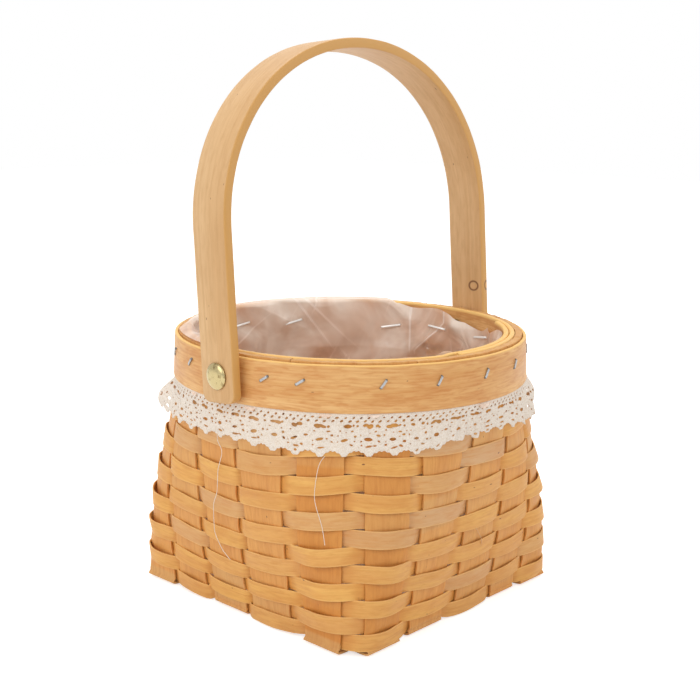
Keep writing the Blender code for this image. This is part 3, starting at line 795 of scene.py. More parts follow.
# %% Splints
def make_splint(axis, index):
    """One splint as a closed mesh, with its run and its width kept for the grain."""
    grid, push, across = splint_grid(axis, index)
    number = index + 10 * (axis == "x")
    chance = np.random.default_rng(90 + number)
    run = np.concatenate([[0], np.cumsum(np.linalg.norm(
        np.diff(grid[:, len(across) // 2], axis=0), axis=1))])
    edge = slow_waves(run / run[-1], 300 + number, range(8, 60), 0.00012)
    inwards = unit(grid[:, -1] - grid[:, 0])
    grid[:, 0] += inwards * edge[:, None]
    grid[:, -1] += inwards * np.roll(edge, 31)[:, None]
    head = np.clip((grid[:, :, 2:] - HEAD_Z) / 0.0005, 0, 1)
    front = grid + push * (STAKE_THICK / 2 + HEAD_FRONT * head)
    back = grid - push * (STAKE_THICK / 2 + HEAD_BACK * head)
    loop = np.concatenate([front, back[:, ::-1]], axis=1)
    count, around = loop.shape[:2]
    faces = [(low + step, low + (step + 1) % around, low + around + (step + 1) % around,
              low + around + step)
             for low in range(0, (count - 1) * around, around) for step in range(around)]
    faces += [tuple(range(around))[::-1], tuple(range((count - 1) * around, count * around))]
    mesh = bpy.data.meshes.new(f"splint_{axis}{index + 1}")
    mesh.from_pydata(loop.reshape(-1, 3).tolist(), [], faces)
    shape = bmesh.new()
    shape.from_mesh(mesh)
    bmesh.ops.recalc_face_normals(shape, faces=shape.faces)
    shape.to_mesh(mesh)
    shape.free()
    strip = np.zeros((count, around, 3), np.float32)
    strip[:, :, 0] = run[:, None]
    strip[:, :, 1] = np.concatenate([across, across[::-1]])
    strip[:, len(across):, 2] = PUSH
    keep(mesh, "strip", strip, True)
    keep(mesh, "tone", chance.random())
    # the heads at the top are drawn paler than the rest of the splint
    at_top = grid[:, 0, 2] > HEAD_Z
    ripe_and_shade = 0.8 if index == 0 else chance.uniform(0, 0.2)
    keep(mesh, "ripe_and_shade", np.repeat(np.where(at_top, 0, ripe_and_shade), around))
    brick = (run / (2 * ROW_PITCH)).astype(int) % BRICKS
    worn = np.where(chance.random(BRICKS) < WORN_CHANCE, chance.uniform(0.4, 0.9, BRICKS),
                    chance.uniform(0, 0.2, BRICKS))
    keep(mesh, "weather", np.repeat(np.where(at_top, 1, worn[brick]), around))
    mesh.shade_smooth()
    mesh.set_sharp_from_angle(angle=math.radians(50))
    mesh.materials.append(SPLINT_WOOD)
    return placed(mesh.name, mesh)


for axis in "xy":
    for index in range(5):
        piece = hand_over(make_splint(axis, index), "splint_wood", f"stake_{axis}{index + 1}")
print("last splint has", len(piece.data.polygons), "faces")

# %% [markdown]
# A weaver is a long thin strip. It starts behind an upright, goes all the way round, and
# ends behind the same upright, lying inside its own start. Its path is worked out as a
# distance from the middle surface: outside an upright, inside the next, and bowed away
# from both in the middle, because stiff chip wood doesn't hug what it passes.

# %% Weavers
OVER = 0.0011
EDGE_OVER = 0.00098
END_SET_IN = 0.00075
END_TUCK = 0.0025
POINT_STEP = 0.0014
BOWS = (  # rows below this one, bow of the strip, and how much more of it at the corners
    (7, 0.0006, 2.2), (10, 0.0006, 1.5), (13, 0.0003, 1), (WEAVER_ROWS, 0.0002, 1))
WEAVER_FULL = 1.072
WEAVER_EDGE = 0.0002
WEAVER_ROUGH = (0.00022, 260.0)


def make_weaver(row):
    """One weaver as a bent strip, with its tone, its worn bricks and painted shade where it
    passes inside.
    """
    middle_z = row_middle(row)
    arc = float(side_arc(middle_z))
    whole = 8 * arc
    chance = np.random.default_rng(500 + row)
    bow, at_corner = next((depth, more) for below, depth, more in BOWS if row < below)
    first = next(i for i in (12, 13) if not passes_outside(i, row))
    knots, values, worn = [], [], []
    for turn in range(len(UPRIGHTS) + 1):
        number = (first + turn) % len(UPRIGHTS)
        face, share, half = UPRIGHTS[number]
        middle = face * 2 * arc + arc + share * arc + whole * ((first + turn) // len(UPRIGHTS))
        side = 1 if passes_outside(number, row) else -1
        swell = bow * chance.uniform(0.6, 1.5) * (at_corner if abs(share) > CORNER_SHARE else 1)
        inner = END_SET_IN if turn == len(UPRIGHTS) else 0
        edge = EDGE_OVER * side - inner
        knots += [middle - half, middle, middle + half]
        values += [edge, (OVER + (swell if side > 0 else swell * 0.4)) * side - inner, edge]
        worn.append(chance.uniform(0.55, 1.0) if chance.random() < WORN_CHANCE
                    else chance.uniform(0, 0.22))
    start, finish = knots[0] + END_TUCK, knots[-1] - END_TUCK
    places = np.linspace(start, finish, int((finish - start) / POINT_STEP))
    out = smooth_through(knots, values, places)
    share = places / whole

    # how far the row leans, wanders up and down, and sinks with its neighbours
    lean = slow_waves(share, 1300 + row, range(5, 26), 0.05) + 0.07 * np.clip(out / OVER, 0, 1.5)
    lean -= 0.24 * window(share, 122, 148, 20) * np.clip(out / OVER, 0, 1)
    sunk = row_sag(share, middle_z)
    room = 1 - (row_sag(share, middle_z + ROW_PITCH / 2)
                - row_sag(share, middle_z - ROW_PITCH / 2)) / ROW_PITCH
    if row == 0:
        sunk *= np.clip(1 + out / 0.0014, 0, 1)
    shift = slow_waves(share, 77, range(3, 10), 0.00022)
    shift += slow_waves(share, 900 + row, range(4, 22), 0.00016)
    z = middle_z + shift - sunk
    points = section_point(share, z, out)
    up = unit(section_point(share, z + 0.002, out) - section_point(share, z - 0.002, out))
    ahead = unit(np.gradient(points, axis=0))
    outward = unit(np.cross(ahead, up))
    up = unit(np.cross(outward, ahead))
    tilted = unit(outward * np.cos(lean)[:, None] + up * np.sin(lean)[:, None])

    # the strip is a little wider where it has room and narrower where rows crowd
    clear = np.clip((np.abs(out) - 0.0004) / 0.0006, 0, 1)
    wide = WEAVER_FULL + 0.005 * clear + slow_waves(
        np.linspace(0, 1, len(points)), 1700 + row, range(6, 40), 0.010)
    wide *= np.clip(room, 0.78, 1.16)
    wide[[0, -1]] *= 0.9
    made = bend(f"woven_row_{row + 1:02d}",
                (points, tilted, -unit(np.cross(ahead, tilted)), wide),
                (WEAVER_WIDTH, WEAVER_THICK, WEAVER_EDGE), WEAVER_ROUGH, float(row), WEAVER_WOOD)
    around = len(made.data.vertices) // len(points)
    brick = (np.searchsorted(knots[1::3], places) + 1) // 2
    keep(made.data, "tone", np.random.default_rng(700 + row).random())
    keep(made.data, "weather", np.repeat(
        np.asarray(worn)[np.clip(brick, 0, len(worn) - 1)], around))
    # painted shade: deeper orange where the weaver turns inside, behind an upright
    keep(made.data, "ripe_and_shade", np.repeat(0.45 * np.clip((0.0003 - out) / 0.0007, 0, 1), around))
    return made


for row in range(WEAVER_ROWS):
    piece = hand_over(make_weaver(row), "weaver_wood", f"weaver_{row + 1:02d}")
print("last weaver has", len(piece.data.polygons), "faces")

# %% [markdown]
# The two hoops clasp the ends of the splints and the last rows of weaving between them.
# Each is a strip bent into a ring whose end laps over its own start. The same strip tree
# makes them: their path is a spiral that steps out, or in, by its own thickness.

# %% Hoops
OUTER_HOOP_THICK = 0.0018
INNER_HOOP_THICK = 0.0027
INNER_HOOP_RISE = 0.0014
INNER_HOOP_SET = HOOP_OFFSET + SPLINT_SAG - 0.0007
LAP_STEP = math.radians(7)
HOOP_POINTS = 420
HOOP_ROUGH = (0.0005, 60.0)
HOOPS = (  # name, thickness, top, start and length of its lap in degrees, side, offset, seed
    ("outer_hoop", OUTER_HOOP_THICK, RIM_Z, 55, 15, 1, HOOP_OFFSET, 2.0),
    ("inner_hoop", INNER_HOOP_THICK, RIM_Z + INNER_HOOP_RISE, -100, 66, -1,
     INNER_HOOP_SET, 5.0))


def make_hoop(name, thickness, top_z, lap_at, lap_turn, side, offset, seed):
    """One hoop as a bent strip with softened edges."""
    turns = np.linspace(0, 2 * math.pi + math.radians(lap_turn), HOOP_POINTS)
    ramp = eased((turns - (2 * math.pi - LAP_STEP)) / LAP_STEP)
    middle_z = (HOOP_FOOT_Z + top_z) / 2
    out = side * (offset + thickness / 2 + (thickness + FIT) * ramp)
    angle = math.radians(lap_at) + turns
    ring = np.stack([np.cos(angle), np.sin(angle), np.zeros_like(angle)], axis=1)
    up = np.array([0, 0, 1.0])
    points = ring * (float(half_side(middle_z)) + out)[:, None] + up * middle_z
    lean = math.atan2(RIM_LEAN_IN, RIM_Z - HOOP_FOOT_Z)
    made = bend("bent_" + name,
                (points, ring * math.cos(lean) + up * math.sin(lean),
                 up * math.cos(lean) - ring * math.sin(lean), 1.0),
                (top_z - HOOP_FOOT_Z, thickness, 0.3 * thickness), HOOP_ROUGH, seed, HOOP_WOOD)
    keep(made.data, "tone", seed / 7)
    return hand_over(made, "hoop_wood", name)


print("hoops", [make_hoop(*hoop).name for hoop in HOOPS])

# %% [markdown]
# The handle is one strip, 22 by 5 mm, bent into a bow: straight legs that run into an
# arch a little squarer than an ellipse. Its feet have rounded corners, so the path
# carries a share of the full width, which the strip tree draws in near both ends.

# %% Handle
HANDLE_WIDTH = 0.022
HANDLE_THICK = 0.005
HANDLE_EDGE = 0.0009
HANDLE_CLEARANCE = 0.0004
HANDLE_FOOT = 0.0126
HANDLE_CORNER = 0.0045
HANDLE_LEG = 0.0658
HANDLE_RISE = 0.1522
HANDLE_SQUARENESS = 2.064
HANDLE_LEAN = math.radians(4.5)
HANDLE_ROUGH = (0.0004, 45.0)
HINGE = Vector((0, -0.0059, 0.1241))
LEG_INNER_X = NECK_RADIUS + HOOP_OFFSET + OUTER_HOOP_THICK + HANDLE_CLEARANCE
LEG_MIDDLE_X = LEG_INNER_X + HANDLE_THICK / 2


def bow_line():
    """Points, directions and width of the bow, round the hinge and then leaned back."""
    foot = HANDLE_CORNER * (1 - np.cos(np.linspace(0, math.pi / 2, 14)))
    leg_z = np.concatenate([foot, np.linspace(HANDLE_CORNER, HANDLE_FOOT + HANDLE_LEG, 44)[1:]])
    tuck = HANDLE_CORNER - np.sqrt(np.clip(
        HANDLE_CORNER**2 - np.clip(HANDLE_CORNER - leg_z, 0, None) ** 2, 0, None))
    leg_share = 1 - tuck / (HANDLE_WIDTH / 2)
    leg = np.stack([np.full_like(leg_z, LEG_MIDDLE_X), leg_z - HANDLE_FOOT], axis=1)
    turn = np.linspace(0, math.pi, 241)
    power = 2 / HANDLE_SQUARENESS
    arch = np.stack([
        LEG_MIDDLE_X * np.sign(np.cos(turn)) * np.abs(np.cos(turn)) ** power,
        HANDLE_LEG + (HANDLE_RISE - HANDLE_LEG) * np.clip(np.sin(turn), 0, None) ** power],
        axis=1)
    path = np.concatenate([leg[:-1], arch, (leg * [-1, 1])[::-1][1:]])
    share = np.concatenate([leg_share[:-1], np.ones(len(arch)), leg_share[::-1][1:]])
    ahead = unit(np.gradient(path, axis=0))
    lean = Matrix.Rotation(-HANDLE_LEAN, 3, "X")
    level = np.zeros(len(path))
    points, outward = (np.stack([x, level, z], axis=1) @ np.array(lean).T
                       for x, z in ((path[:, 0], path[:, 1]), (ahead[:, 1], -ahead[:, 0])))
    sideways = np.tile(np.array(lean @ Vector((0, 1, 0))), (len(path), 1))
    return points + np.array(HINGE), outward, sideways, share


bow_path = bow_line()
bow = bend("bent_handle", bow_path, (HANDLE_WIDTH, HANDLE_THICK, HANDLE_EDGE), HANDLE_ROUGH,
           3.0, HANDLE_WOOD)
keep(bow.data, "tone", 0.37)
hand_over(bow, "handle_wood", "handle_bow", body="handle")
bow_run = np.linalg.norm(np.diff(bow_path[0], axis=0), axis=1).sum()
print("handle runs", round(float(bow_run), 3), "m")

# %% [markdown]
# Brass and steel share one finish: a clean metal with a thin tarnish in patches. It is darker
# near the ends of a staple's crown, and painted light whitens the staples of the film.

# %% Brass and steel
def metal(name, colour, dark, roughness, scale, share, shine):
    """A metal with a thin tarnish in patches and a slightly uneven skin."""
    made, tree, shader = new_finish(name, {"Metallic": shine})
    patches = noise(tree, (put(tree, "ShaderNodeTexCoord"), "Object"), scale, 3.0,
                    roughness=0.55)
    tone = blended(tree, linear(*colour), linear(*dark),
                   ranged(tree, patches, 0.56, 0.72, 0.0, share))
    tone = blended(tree, tone, linear(*dark),
                   ranged(tree, kept(tree, "reach"), 0.72, 0.95, 0.0, 0.85))
    # painted light: whitens the staples of the film, inside the basket
    tone = blended(tree, tone, linear(252, 252, 250), kept(tree, "painted_light"))
    wire(tree, tone, shader, "Base Color")
    wire(tree, ranged(tree, patches, 0.4, 0.7, roughness, roughness + 0.25),
         shader, "Roughness")
    add_relief(tree, shader, patches, 0.06)
    return made


BRASS = metal("rivet_brass", (184, 168, 124), (100, 74, 36), 0.12, 300.0, 0.9, 1.0)
STEEL = metal("staple_steel", (194, 198, 202), (104, 100, 96), 0.30, 900.0, 0.4, 0.45)
print("metals", BRASS.name, STEEL.name)

# %% [markdown]
# The rivets are turned pieces: a low brass dome outside, a shank through the rim and a
# clenched end with a washer inside. A profile turned round the hinge line gives all of
# them, with enough steps for a clean highlight on the dome.

# %% Rivets and washers
RIVET_HEAD_RADIUS = 0.0064
RIVET_DOME = 0.002
DOME_EDGE = 0.0003
RIVET_SHANK_RADIUS = 0.0021
RIVET_TAIL_RADIUS = 0.0034
RIVET_TAIL = 0.0009
WASHER_RADIUS = 0.0046
WASHER_THICK = 0.0005
WASHER_SET_IN = 0.00095
HINGE_HOLE = 0.0025
TURNED_STEPS, DOME_STEPS = 64, 14


def turned_piece(name, profile, towards, closed, replaced):
    """A profile of (radius, distance out) turned round the hinge line."""
    shape = bmesh.new()
    rings = []
    for radius, out in profile:
        angles = [2 * math.pi * step / TURNED_STEPS
                  for step in range(TURNED_STEPS if radius else 1)]
        rings.append([shape.verts.new((
            towards * out, HINGE.y + radius * math.cos(angle),
            HINGE.z + radius * math.sin(angle))) for angle in angles])
    for one, two in zip(rings, rings[1:] + (rings[:1] if closed else [])):
        for step in range(TURNED_STEPS):
            corners = [ring[place % len(ring)] for ring, place in (
                (one, step), (two, step), (two, (step + 1) % TURNED_STEPS),
                (one, (step + 1) % TURNED_STEPS))]
            shape.faces.new(list(dict.fromkeys(corners)))
    bmesh.ops.recalc_face_normals(shape, faces=shape.faces)
    mesh = bpy.data.meshes.new(name)
    shape.to_mesh(mesh)
    shape.free()
    mesh.shade_smooth()
    mesh.set_sharp_from_angle(angle=math.radians(38))
    mesh.materials.append(BRASS)
    hand_over(placed(name, mesh), "rivet_brass", replaced)


rivet_head = LEG_INNER_X + HANDLE_THICK + FIT
hoop_inside = float(half_side(HINGE.z)) - INNER_HOOP_SET - INNER_HOOP_THICK
washer_out = hoop_inside - WASHER_SET_IN - FIT
washer_in = washer_out - WASHER_THICK
rivet_tail = washer_in - FIT
swings = [math.pi / 2 * step / DOME_STEPS for step in range(1, DOME_STEPS + 1)]
rivet_profile = [(0, rivet_head + RIVET_DOME)] + [
    (RIVET_HEAD_RADIUS * math.sin(swing) ** 0.9,
     rivet_head + DOME_EDGE + (RIVET_DOME - DOME_EDGE) * math.cos(swing) ** 1.1)
    for swing in swings] + [
    (RIVET_HEAD_RADIUS - 0.0001, rivet_head), (RIVET_SHANK_RADIUS, rivet_head),
    (RIVET_SHANK_RADIUS, rivet_tail), (RIVET_TAIL_RADIUS - 0.0002, rivet_tail),
    (RIVET_TAIL_RADIUS, rivet_tail - 0.0003),
    (RIVET_TAIL_RADIUS - 0.0006, rivet_tail - RIVET_TAIL),
    (0, rivet_tail - RIVET_TAIL - 0.0001)]
washer_profile = [(WASHER_RADIUS, washer_out), (WASHER_RADIUS, washer_in),
                  (HINGE_HOLE, washer_in), (HINGE_HOLE, washer_out)]
for side, towards in (("left", -1), ("right", 1)):
    turned_piece(f"brass_rivet_{side}", rivet_profile, towards, False, f"rivet_{side}")
    turned_piece(f"brass_washer_{side}", washer_profile, towards, True,
                 f"rivet_washer_{side}")
print("rivet is", round((rivet_head + RIVET_DOME - rivet_tail) * 1000, 1), "mm long")

# %% [markdown]
# The lace is machine-made cotton: a braided top with two rows of slanted holes, a row of
# long holes, a dense body and a scalloped foot. Threads one by one would be far too many
# faces, and a painted-on pattern would have no real holes. So the band is worked out as
# a distance: how far each spot of the flat strip lies inside the cotton. The outline of
# that distance is cut exactly, both skins and their edges are built from it, and the
# strip is then hung round the neck with a few gathers.

# %% Lace pattern
LACE_DROP = 0.0192
LACE_MOTIFS = 52
LACE_TOP_Z = HOOP_FOOT_Z + 0.0003
LACE_RUN = float(8 * side_arc(LACE_TOP_Z - LACE_DROP / 2))
MOTIF = LACE_RUN / LACE_MOTIFS * 1000
COLUMNS = LACE_MOTIFS * 20
ROW_STEP = 0.46
DOWN = np.arange(-0.6, 20.6, ROW_STEP)
CLEAR = 0.02
TOP_EDGE, PICOT = 0.35, 0.32
FOOT_EDGE, SCALLOP, SCALLOP_HALF, RIPPLE = 17.1, 2.55, 2.35, 0.28
FOOT_CORD = 0.40

HOLES = (
    # place along and down, half length, half height, slant, chance, all in mm of a motif
    (-3.53, 2.3, 0.86, 0.45, 0.55, 1.0), (0.0, 2.3, 0.86, 0.45, 0.55, 1.0),
    (3.53, 2.3, 0.86, 0.45, 0.55, 1.0),
    (-1.77, 4.0, 0.9, 0.47, 0.5, 1.0), (1.77, 4.0, 0.9, 0.47, 0.5, 1.0),
    (5.3, 4.0, 0.9, 0.47, 0.5, 1.0),
    (-1.3, 6.1, 1.6, 0.86, 0.05, 0.95), (1.0, 6.25, 1.8, 0.92, -0.05, 0.92),
    (3.4, 6.0, 0.8, 0.6, 0.3, 0.8), (5.3, 6.2, 0.66, 0.62, 0.3, 0.8),
    (-2.6, 8.3, 0.6, 0.38, 0.2, 0.8), (3.2, 8.5, 0.95, 0.38, 0.0, 0.6),
    (0.4, 8.9, 0.5, 0.34, 0.3, 0.6), (-4.6, 8.8, 0.5, 0.36, 0.5, 0.5),
    (4.6, 10.3, 1.0, 0.58, 0.1, 0.75), (-3.4, 10.2, 0.55, 0.42, 0.3, 0.6),
    (-0.2, 12.0, 1.75, 0.78, 0.1, 0.9), (4.7, 12.9, 0.8, 0.52, -0.3, 0.6),
    (-3.4, 12.8, 0.5, 0.4, 0.5, 0.6), (2.6, 11.2, 0.45, 0.36, 0.2, 0.6),
    (-3.2, 14.6, 0.65, 0.45, 0.4, 0.7), (2.9, 14.8, 0.9, 0.48, -0.4, 0.7),
    (0.1, 15.6, 1.9, 0.55, 0.0, 0.7), (0.0, 17.4, 1.0, 0.55, 0.2, 0.5),
)


def lace_field(along, down):
    """How far inside the cotton a spot lies, in mm. Negative is a hole or outside."""
    chance = np.random.default_rng(31)
    part = along / (MOTIF * LACE_MOTIFS)
    along = along + 0.35 * np.sin(2 * math.pi * (part * 17 + down / 40))
    down = down + 0.3 * np.sin(2 * math.pi * part * 11) * (down / 20)
    offset = (along / MOTIF) % 1 * MOTIF - MOTIF / 2
    which = np.floor(along / MOTIF).astype(int) % LACE_MOTIFS
    top = down - TOP_EDGE + PICOT * np.abs(np.sin(math.pi * along / (MOTIF / 6)))
    size = chance.uniform(0.75, 1.2, LACE_MOTIFS)[which]
    foot = FOOT_EDGE + SCALLOP * size * np.exp(-(np.abs(offset) / SCALLOP_HALF) ** 1.7)
    foot = foot + RIPPLE * np.cos(2 * math.pi * along / (MOTIF / 5))
    field = np.minimum(top, foot - down)
    for place, drop, half_long, half_high, slant, share in HOLES:
        loose = 0.07 if drop < 5 else 0.2
        shift = chance.normal(0, loose, (2, LACE_MOTIFS))
        scale = chance.uniform(0.95 - 1.2 * loose, 1.05 + 0.6 * loose, (2, LACE_MOTIFS))
        open_here = chance.random(LACE_MOTIFS) < share
        turn = slant + chance.normal(0, 0.15, LACE_MOTIFS)
        for side in (-1, 0, 1):
            near = (which + side) % LACE_MOTIFS
            dx = offset - side * MOTIF - place - shift[0][near]
            dy = down - drop - shift[1][near]
            cos, sin = np.cos(turn[near]), np.sin(turn[near])
            high = half_high * scale[1][near]
            u = (dx * cos - dy * sin) / (half_long * scale[0][near])
            v = (dx * sin + dy * cos) / high
            distance = (np.sqrt(u**2 + v**2) - 1) * high
            field = np.minimum(field, np.where(open_here[near], distance, 9))
    edge = FOOT_CORD - np.abs(foot - down - FOOT_CORD)
    return np.maximum(field, np.minimum(top, edge))


def held_part(field):
    """The field without the bits of cotton that hang on nothing."""
    inside = field > 0
    held = inside & (np.arange(field.shape[1]) == 3)
    while True:
        grown = held | np.roll(held, 1, axis=0) | np.roll(held, -1, axis=0)
        grown[:, 1:] |= held[:, :-1]
        grown[:, :-1] |= held[:, 1:]
        grown &= inside
        if grown.sum() == held.sum():
            return np.where(inside & ~held, -0.05, field)
        held = grown


grid_along, grid_down = np.meshgrid(
    np.arange(COLUMNS) * MOTIF * LACE_MOTIFS / COLUMNS, DOWN, indexing="ij")
cotton = lace_field(grid_along, grid_down)
cotton = held_part(np.where(np.abs(cotton) < CLEAR, CLEAR, cotton))
print("lace is open over", round(float((cotton < 0).mean()), 2), "of the strip")

# %% [markdown]
# Each grid square is cut along the outline: corners inside the cotton stay, and a point
# is put where the distance passes zero on each edge. The front skin, the back skin and
# the walls between them share those points, so the band is one closed piece.

# %% Cut the lace out and hang it
LACE_OFF_WEAVE = 0.0011
HALF_THREAD, HALF_THREAD_MORE, CORD_MORE = 0.00012, 0.00014, 0.00008
LACE_PUFFS = (  # how far out, its middle and half its height, azimuths and their softness
    (0.0060, 0.0140, 0.0065, 126, 143, 14), (0.0036, 0.0065, 0.0055, 298, 328, 20))


def outline_cut(field, along, down):
    """Points (along, down, inside) and polygons of the part of a ring grid above zero."""
    inside = field > 0
    number = np.full(field.shape, -1)
    number[inside] = np.arange(inside.sum())
    flat = [np.stack([along[inside], down[inside], field[inside]], axis=1)]
    crossing = []
    for near, far, left, high, run, fall in (
            (field, np.roll(field, -1, axis=0), along, down, along[1, 0] - along[0, 0], 0.0),
            (field[:, :-1], field[:, 1:], along[:, :-1], down[:, :-1], 0.0,
             down[0, 1] - down[0, 0])):
        cut = (near > 0) != (far > 0)
        share = np.clip(near / np.where(near == far, 1, near - far), 0.12, 0.88)
        ids = np.full(near.shape, -1)
        ids[cut] = sum(map(len, flat)) + np.arange(cut.sum())
        crossing.append(ids)
        flat.append(np.stack([(left + share * run)[cut], (high + share * fall)[cut],
                              np.zeros(cut.sum())], axis=1))
    faces, walls = [], []
    some = inside | np.roll(inside, -1, axis=0)
    for i, j in zip(*np.nonzero(some[:, :-1] | some[:, 1:])):
        k = (i + 1) % len(field)
        loop = []
        for corner, edge in (
                (number[i, j], crossing[0][i, j]), (number[k, j], crossing[1][k, j]),
                (number[k, j + 1], crossing[0][i, j + 1]),
                (number[i, j + 1], crossing[1][i, j])):
            if corner >= 0:
                loop.append((corner, False))
            if edge >= 0:
                loop.append((edge, True))
        faces.append([point for point, _ in loop])
        walls += [(a, b) for (a, cut_a), (b, cut_b) in zip(loop, loop[1:] + loop[:1])
                  if cut_a and cut_b]
    return np.concatenate(flat), faces, walls


def lace_place(flat, lift):
    """Where a spot of the flat strip hangs, lifted off its middle by lift."""
    share = flat[:, 0] / (MOTIF * LACE_MOTIFS)
    drop = flat[:, 1] / 1000
    z = LACE_TOP_Z - drop * (0.985 - 0.15 * window(share, 252, 284, 14))
    hang = np.clip(drop / 0.02, 0, 1)
    ruffle = slow_waves(share, 61, range(18, 52), 0.00060)
    out = SKIN + LACE_OFF_WEAVE + 0.0003 * hang + hang * np.sqrt(ruffle**2 + 0.0003**2)
    out += slow_waves(share, 62, range(5, 14), 0.00012)
    bunch = window(share, 252, 268, 8) + 0.8 * window(share, 286, 306, 10)
    out += bunch * hang * 0.0010 * (1 + np.sin(2 * math.pi * share * 110 + 6 * drop / 0.02))
    for far, middle, half, start, finish, soft in LACE_PUFFS:
        out += far * bell(drop - middle, half) * window(share, start, finish, soft)
    out += 0.0016 * hang * window(share, 300, 340, 20)
    return section_point(share, z, out + lift)


flat, faces, walls = outline_cut(cotton, grid_along, grid_down)
depth = np.clip(flat[:, 2], 0, 1.2)
half_thick = HALF_THREAD + HALF_THREAD_MORE * np.sqrt(np.clip(depth / 0.3, 0, 1))
half_thick += CORD_MORE * bell(depth - 0.33, 0.16)
count = len(flat)
polygons = [face[::-1] for face in faces]
polygons += [[point + count for point in face] for face in faces]
polygons += [(a, b, b + count, a + count) for a, b in walls]
lace_mesh = bpy.data.meshes.new("lace_band")
lace_mesh.from_pydata(np.concatenate(
    [lace_place(flat, side * half_thick) for side in (1, -1)]).tolist(), [], polygons)
keep(lace_mesh, "strip", np.tile(flat * [0.001, 0.001, 1.0], (2, 1)), True)
lace_mesh.shade_smooth()
lace_band = placed("lace_band", lace_mesh)
print("lace has", len(polygons), "faces and", sum(len(p) - 2 for p in polygons), "triangles")

# %% [markdown]
# Cotton is soft and matt, and its twisted threads are too fine to model, so they are relief in
# the finish. The band then takes the place of the frame's lace.


def cotton_material():
    """Cream cotton: twisted threads in relief, with painted shade in beige between them."""
    made, tree, shader = new_finish("lace_cotton", {"Roughness": 0.9, "Sheen Weight": 0.15})
    place = calc(tree, "MULTIPLY", kept(tree, "strip", "Vector"), (1, 1, 0), vector=True)
    threads = put(tree, "ShaderNodeTexVoronoi", {"Vector": place, "Scale": 1900.0},
                  feature="F1")
    # painted shade: a beige between the threads
    tone = blended(tree, linear(244, 235, 225), linear(221, 200, 176),
                   ranged(tree, (threads, "Distance"), 0.30, 0.75, 0.0, 0.5))
    tone = blended(tree, tone, linear(200, 172, 138),
                   ranged(tree, noise(tree, place, 620.0, 2.0), 0.60, 0.72, 0.0, 0.4))
    wire(tree, tone, shader, "Base Color")
    add_relief(tree, shader, (threads, "Distance"), 0.6, 0.0003, True)

    # loose cotton lets most of the light through to the wood behind it
    rays = put(tree, "ShaderNodeLightPath")
    soft = calc(tree, "MAXIMUM", (rays, "Is Shadow Ray"), (rays, "Is Diffuse Ray"))
    wire(tree, ranged(tree, soft, 0.0, 1.0, 1.0, 0.3), shader, "Alpha")
    return made


COTTON = cotton_material()
lace_mesh.materials.append(COTTON)
hand_over(lace_band, "lace_cotton", "lace_trim")

# %% [markdown]
# The liner is a bag of thin clouded film, pushed in by hand and stapled to the inner hoop.
# Film can't stretch, so it takes its slack in sharp creases with flat facets between.
# A cloth simulation makes soft folds, not these. Here many small folds are laid over
# each other: each lifts the film by the distance from its own line, and fades out round
# its own middle. Where it is stapled, the film is held against the hoop.

# %% Film folds
LINER_STAPLES = (  # azimuth, slant, metres above their common level
    (92.4, -5, 0.0015), (67.5, -13, -0.0006), (25.8, -11, -0.0028), (4.9, 5, -0.0008),
    (-20.2, -10, -0.0010), (128, 9, 0.0), (205, -6, 0.0), (245, 10, 0.0))
LINER_STAPLE_Z = HOOP_FOOT_Z + 0.55 * (RIM_Z - HOOP_FOOT_Z)
FILM_AGAINST = -(INNER_HOOP_SET + INNER_HOOP_THICK + 0.0006)
FILM_BELOW = -(SKIN + 0.0030)
FILM_FLOOR_Z = FLOOR_Z + CROSS_LIFT + STAKE_THICK / 2 + 0.0012
FILM_COLUMNS = 640
FILM_ROUND = 0.51
FILM_RADIUS = 0.08
CREASE_HALF = 0.0006
WALL_STEPS = ((0.0, 0.036, 58), (0.036, 0.126, 46))


def film_folds(along, down, count, seed, highest, size, reach):
    """Heights of seeded folds, and how close each spot lies to a crease, both from 0. The
    closeness sets the painted highlight along each crease.
    """
    chance = np.random.default_rng(seed)
    lift, crease_highlight = np.zeros(along.shape), np.zeros(along.shape)
    for _ in range(count):
        middle, height = chance.uniform(0, FILM_ROUND), chance.uniform(0, highest)
        turn = chance.normal(math.pi / 2, 0.75)
        radius = reach * chance.uniform(0.5, 1.4)
        # how strong the painted highlight along this fold's line is
        painted_light = chance.random() ** 2.5
        dx = (along - middle + FILM_ROUND / 2) % FILM_ROUND - FILM_ROUND / 2
        dy = down - height
        across = dx * math.sin(turn) - dy * math.cos(turn)
        ahead = dx * math.cos(turn) + dy * math.sin(turn)
        fade = np.exp(-((ahead / radius) ** 2) - (across / (0.55 * radius)) ** 2)
        own = chance.uniform(0.4, 1.0) * size * chance.choice((-1, 1))
        lift += own * fade * (1 - np.sqrt((across / (0.42 * radius)) ** 2 + 0.0008))
        crease_highlight = np.maximum(crease_highlight, painted_light * fade**0.6 * bell(across, CREASE_HALF))
    return lift, crease_highlight


share = np.arange(FILM_COLUMNS) / FILM_COLUMNS
levels = np.unique(np.concatenate([np.linspace(*part) for part in WALL_STEPS]))
around, drop = np.meshgrid(share, levels, indexing="ij")
lift, crease_highlight = film_folds(around * FILM_ROUND, drop, 110, 8, 0.13, 0.0022, 0.019)
small, small_crease_highlight = film_folds(around * FILM_ROUND, drop, 120, 9, 0.06, 0.0007, 0.009)
lift += small
crease_highlight = np.maximum(crease_highlight, 0.8 * small_crease_highlight)
print("film folds lift it by up to", round(float(np.abs(lift).max()) * 1000, 1), "mm")

# %% [markdown]
# The film starts at its cut edge on the inner hoop, runs down against the hoop, eases out
# towards the weave below it and turns into the floor. Each feature is a distance in from
# the uprights, so that the folds can be added to all of them.

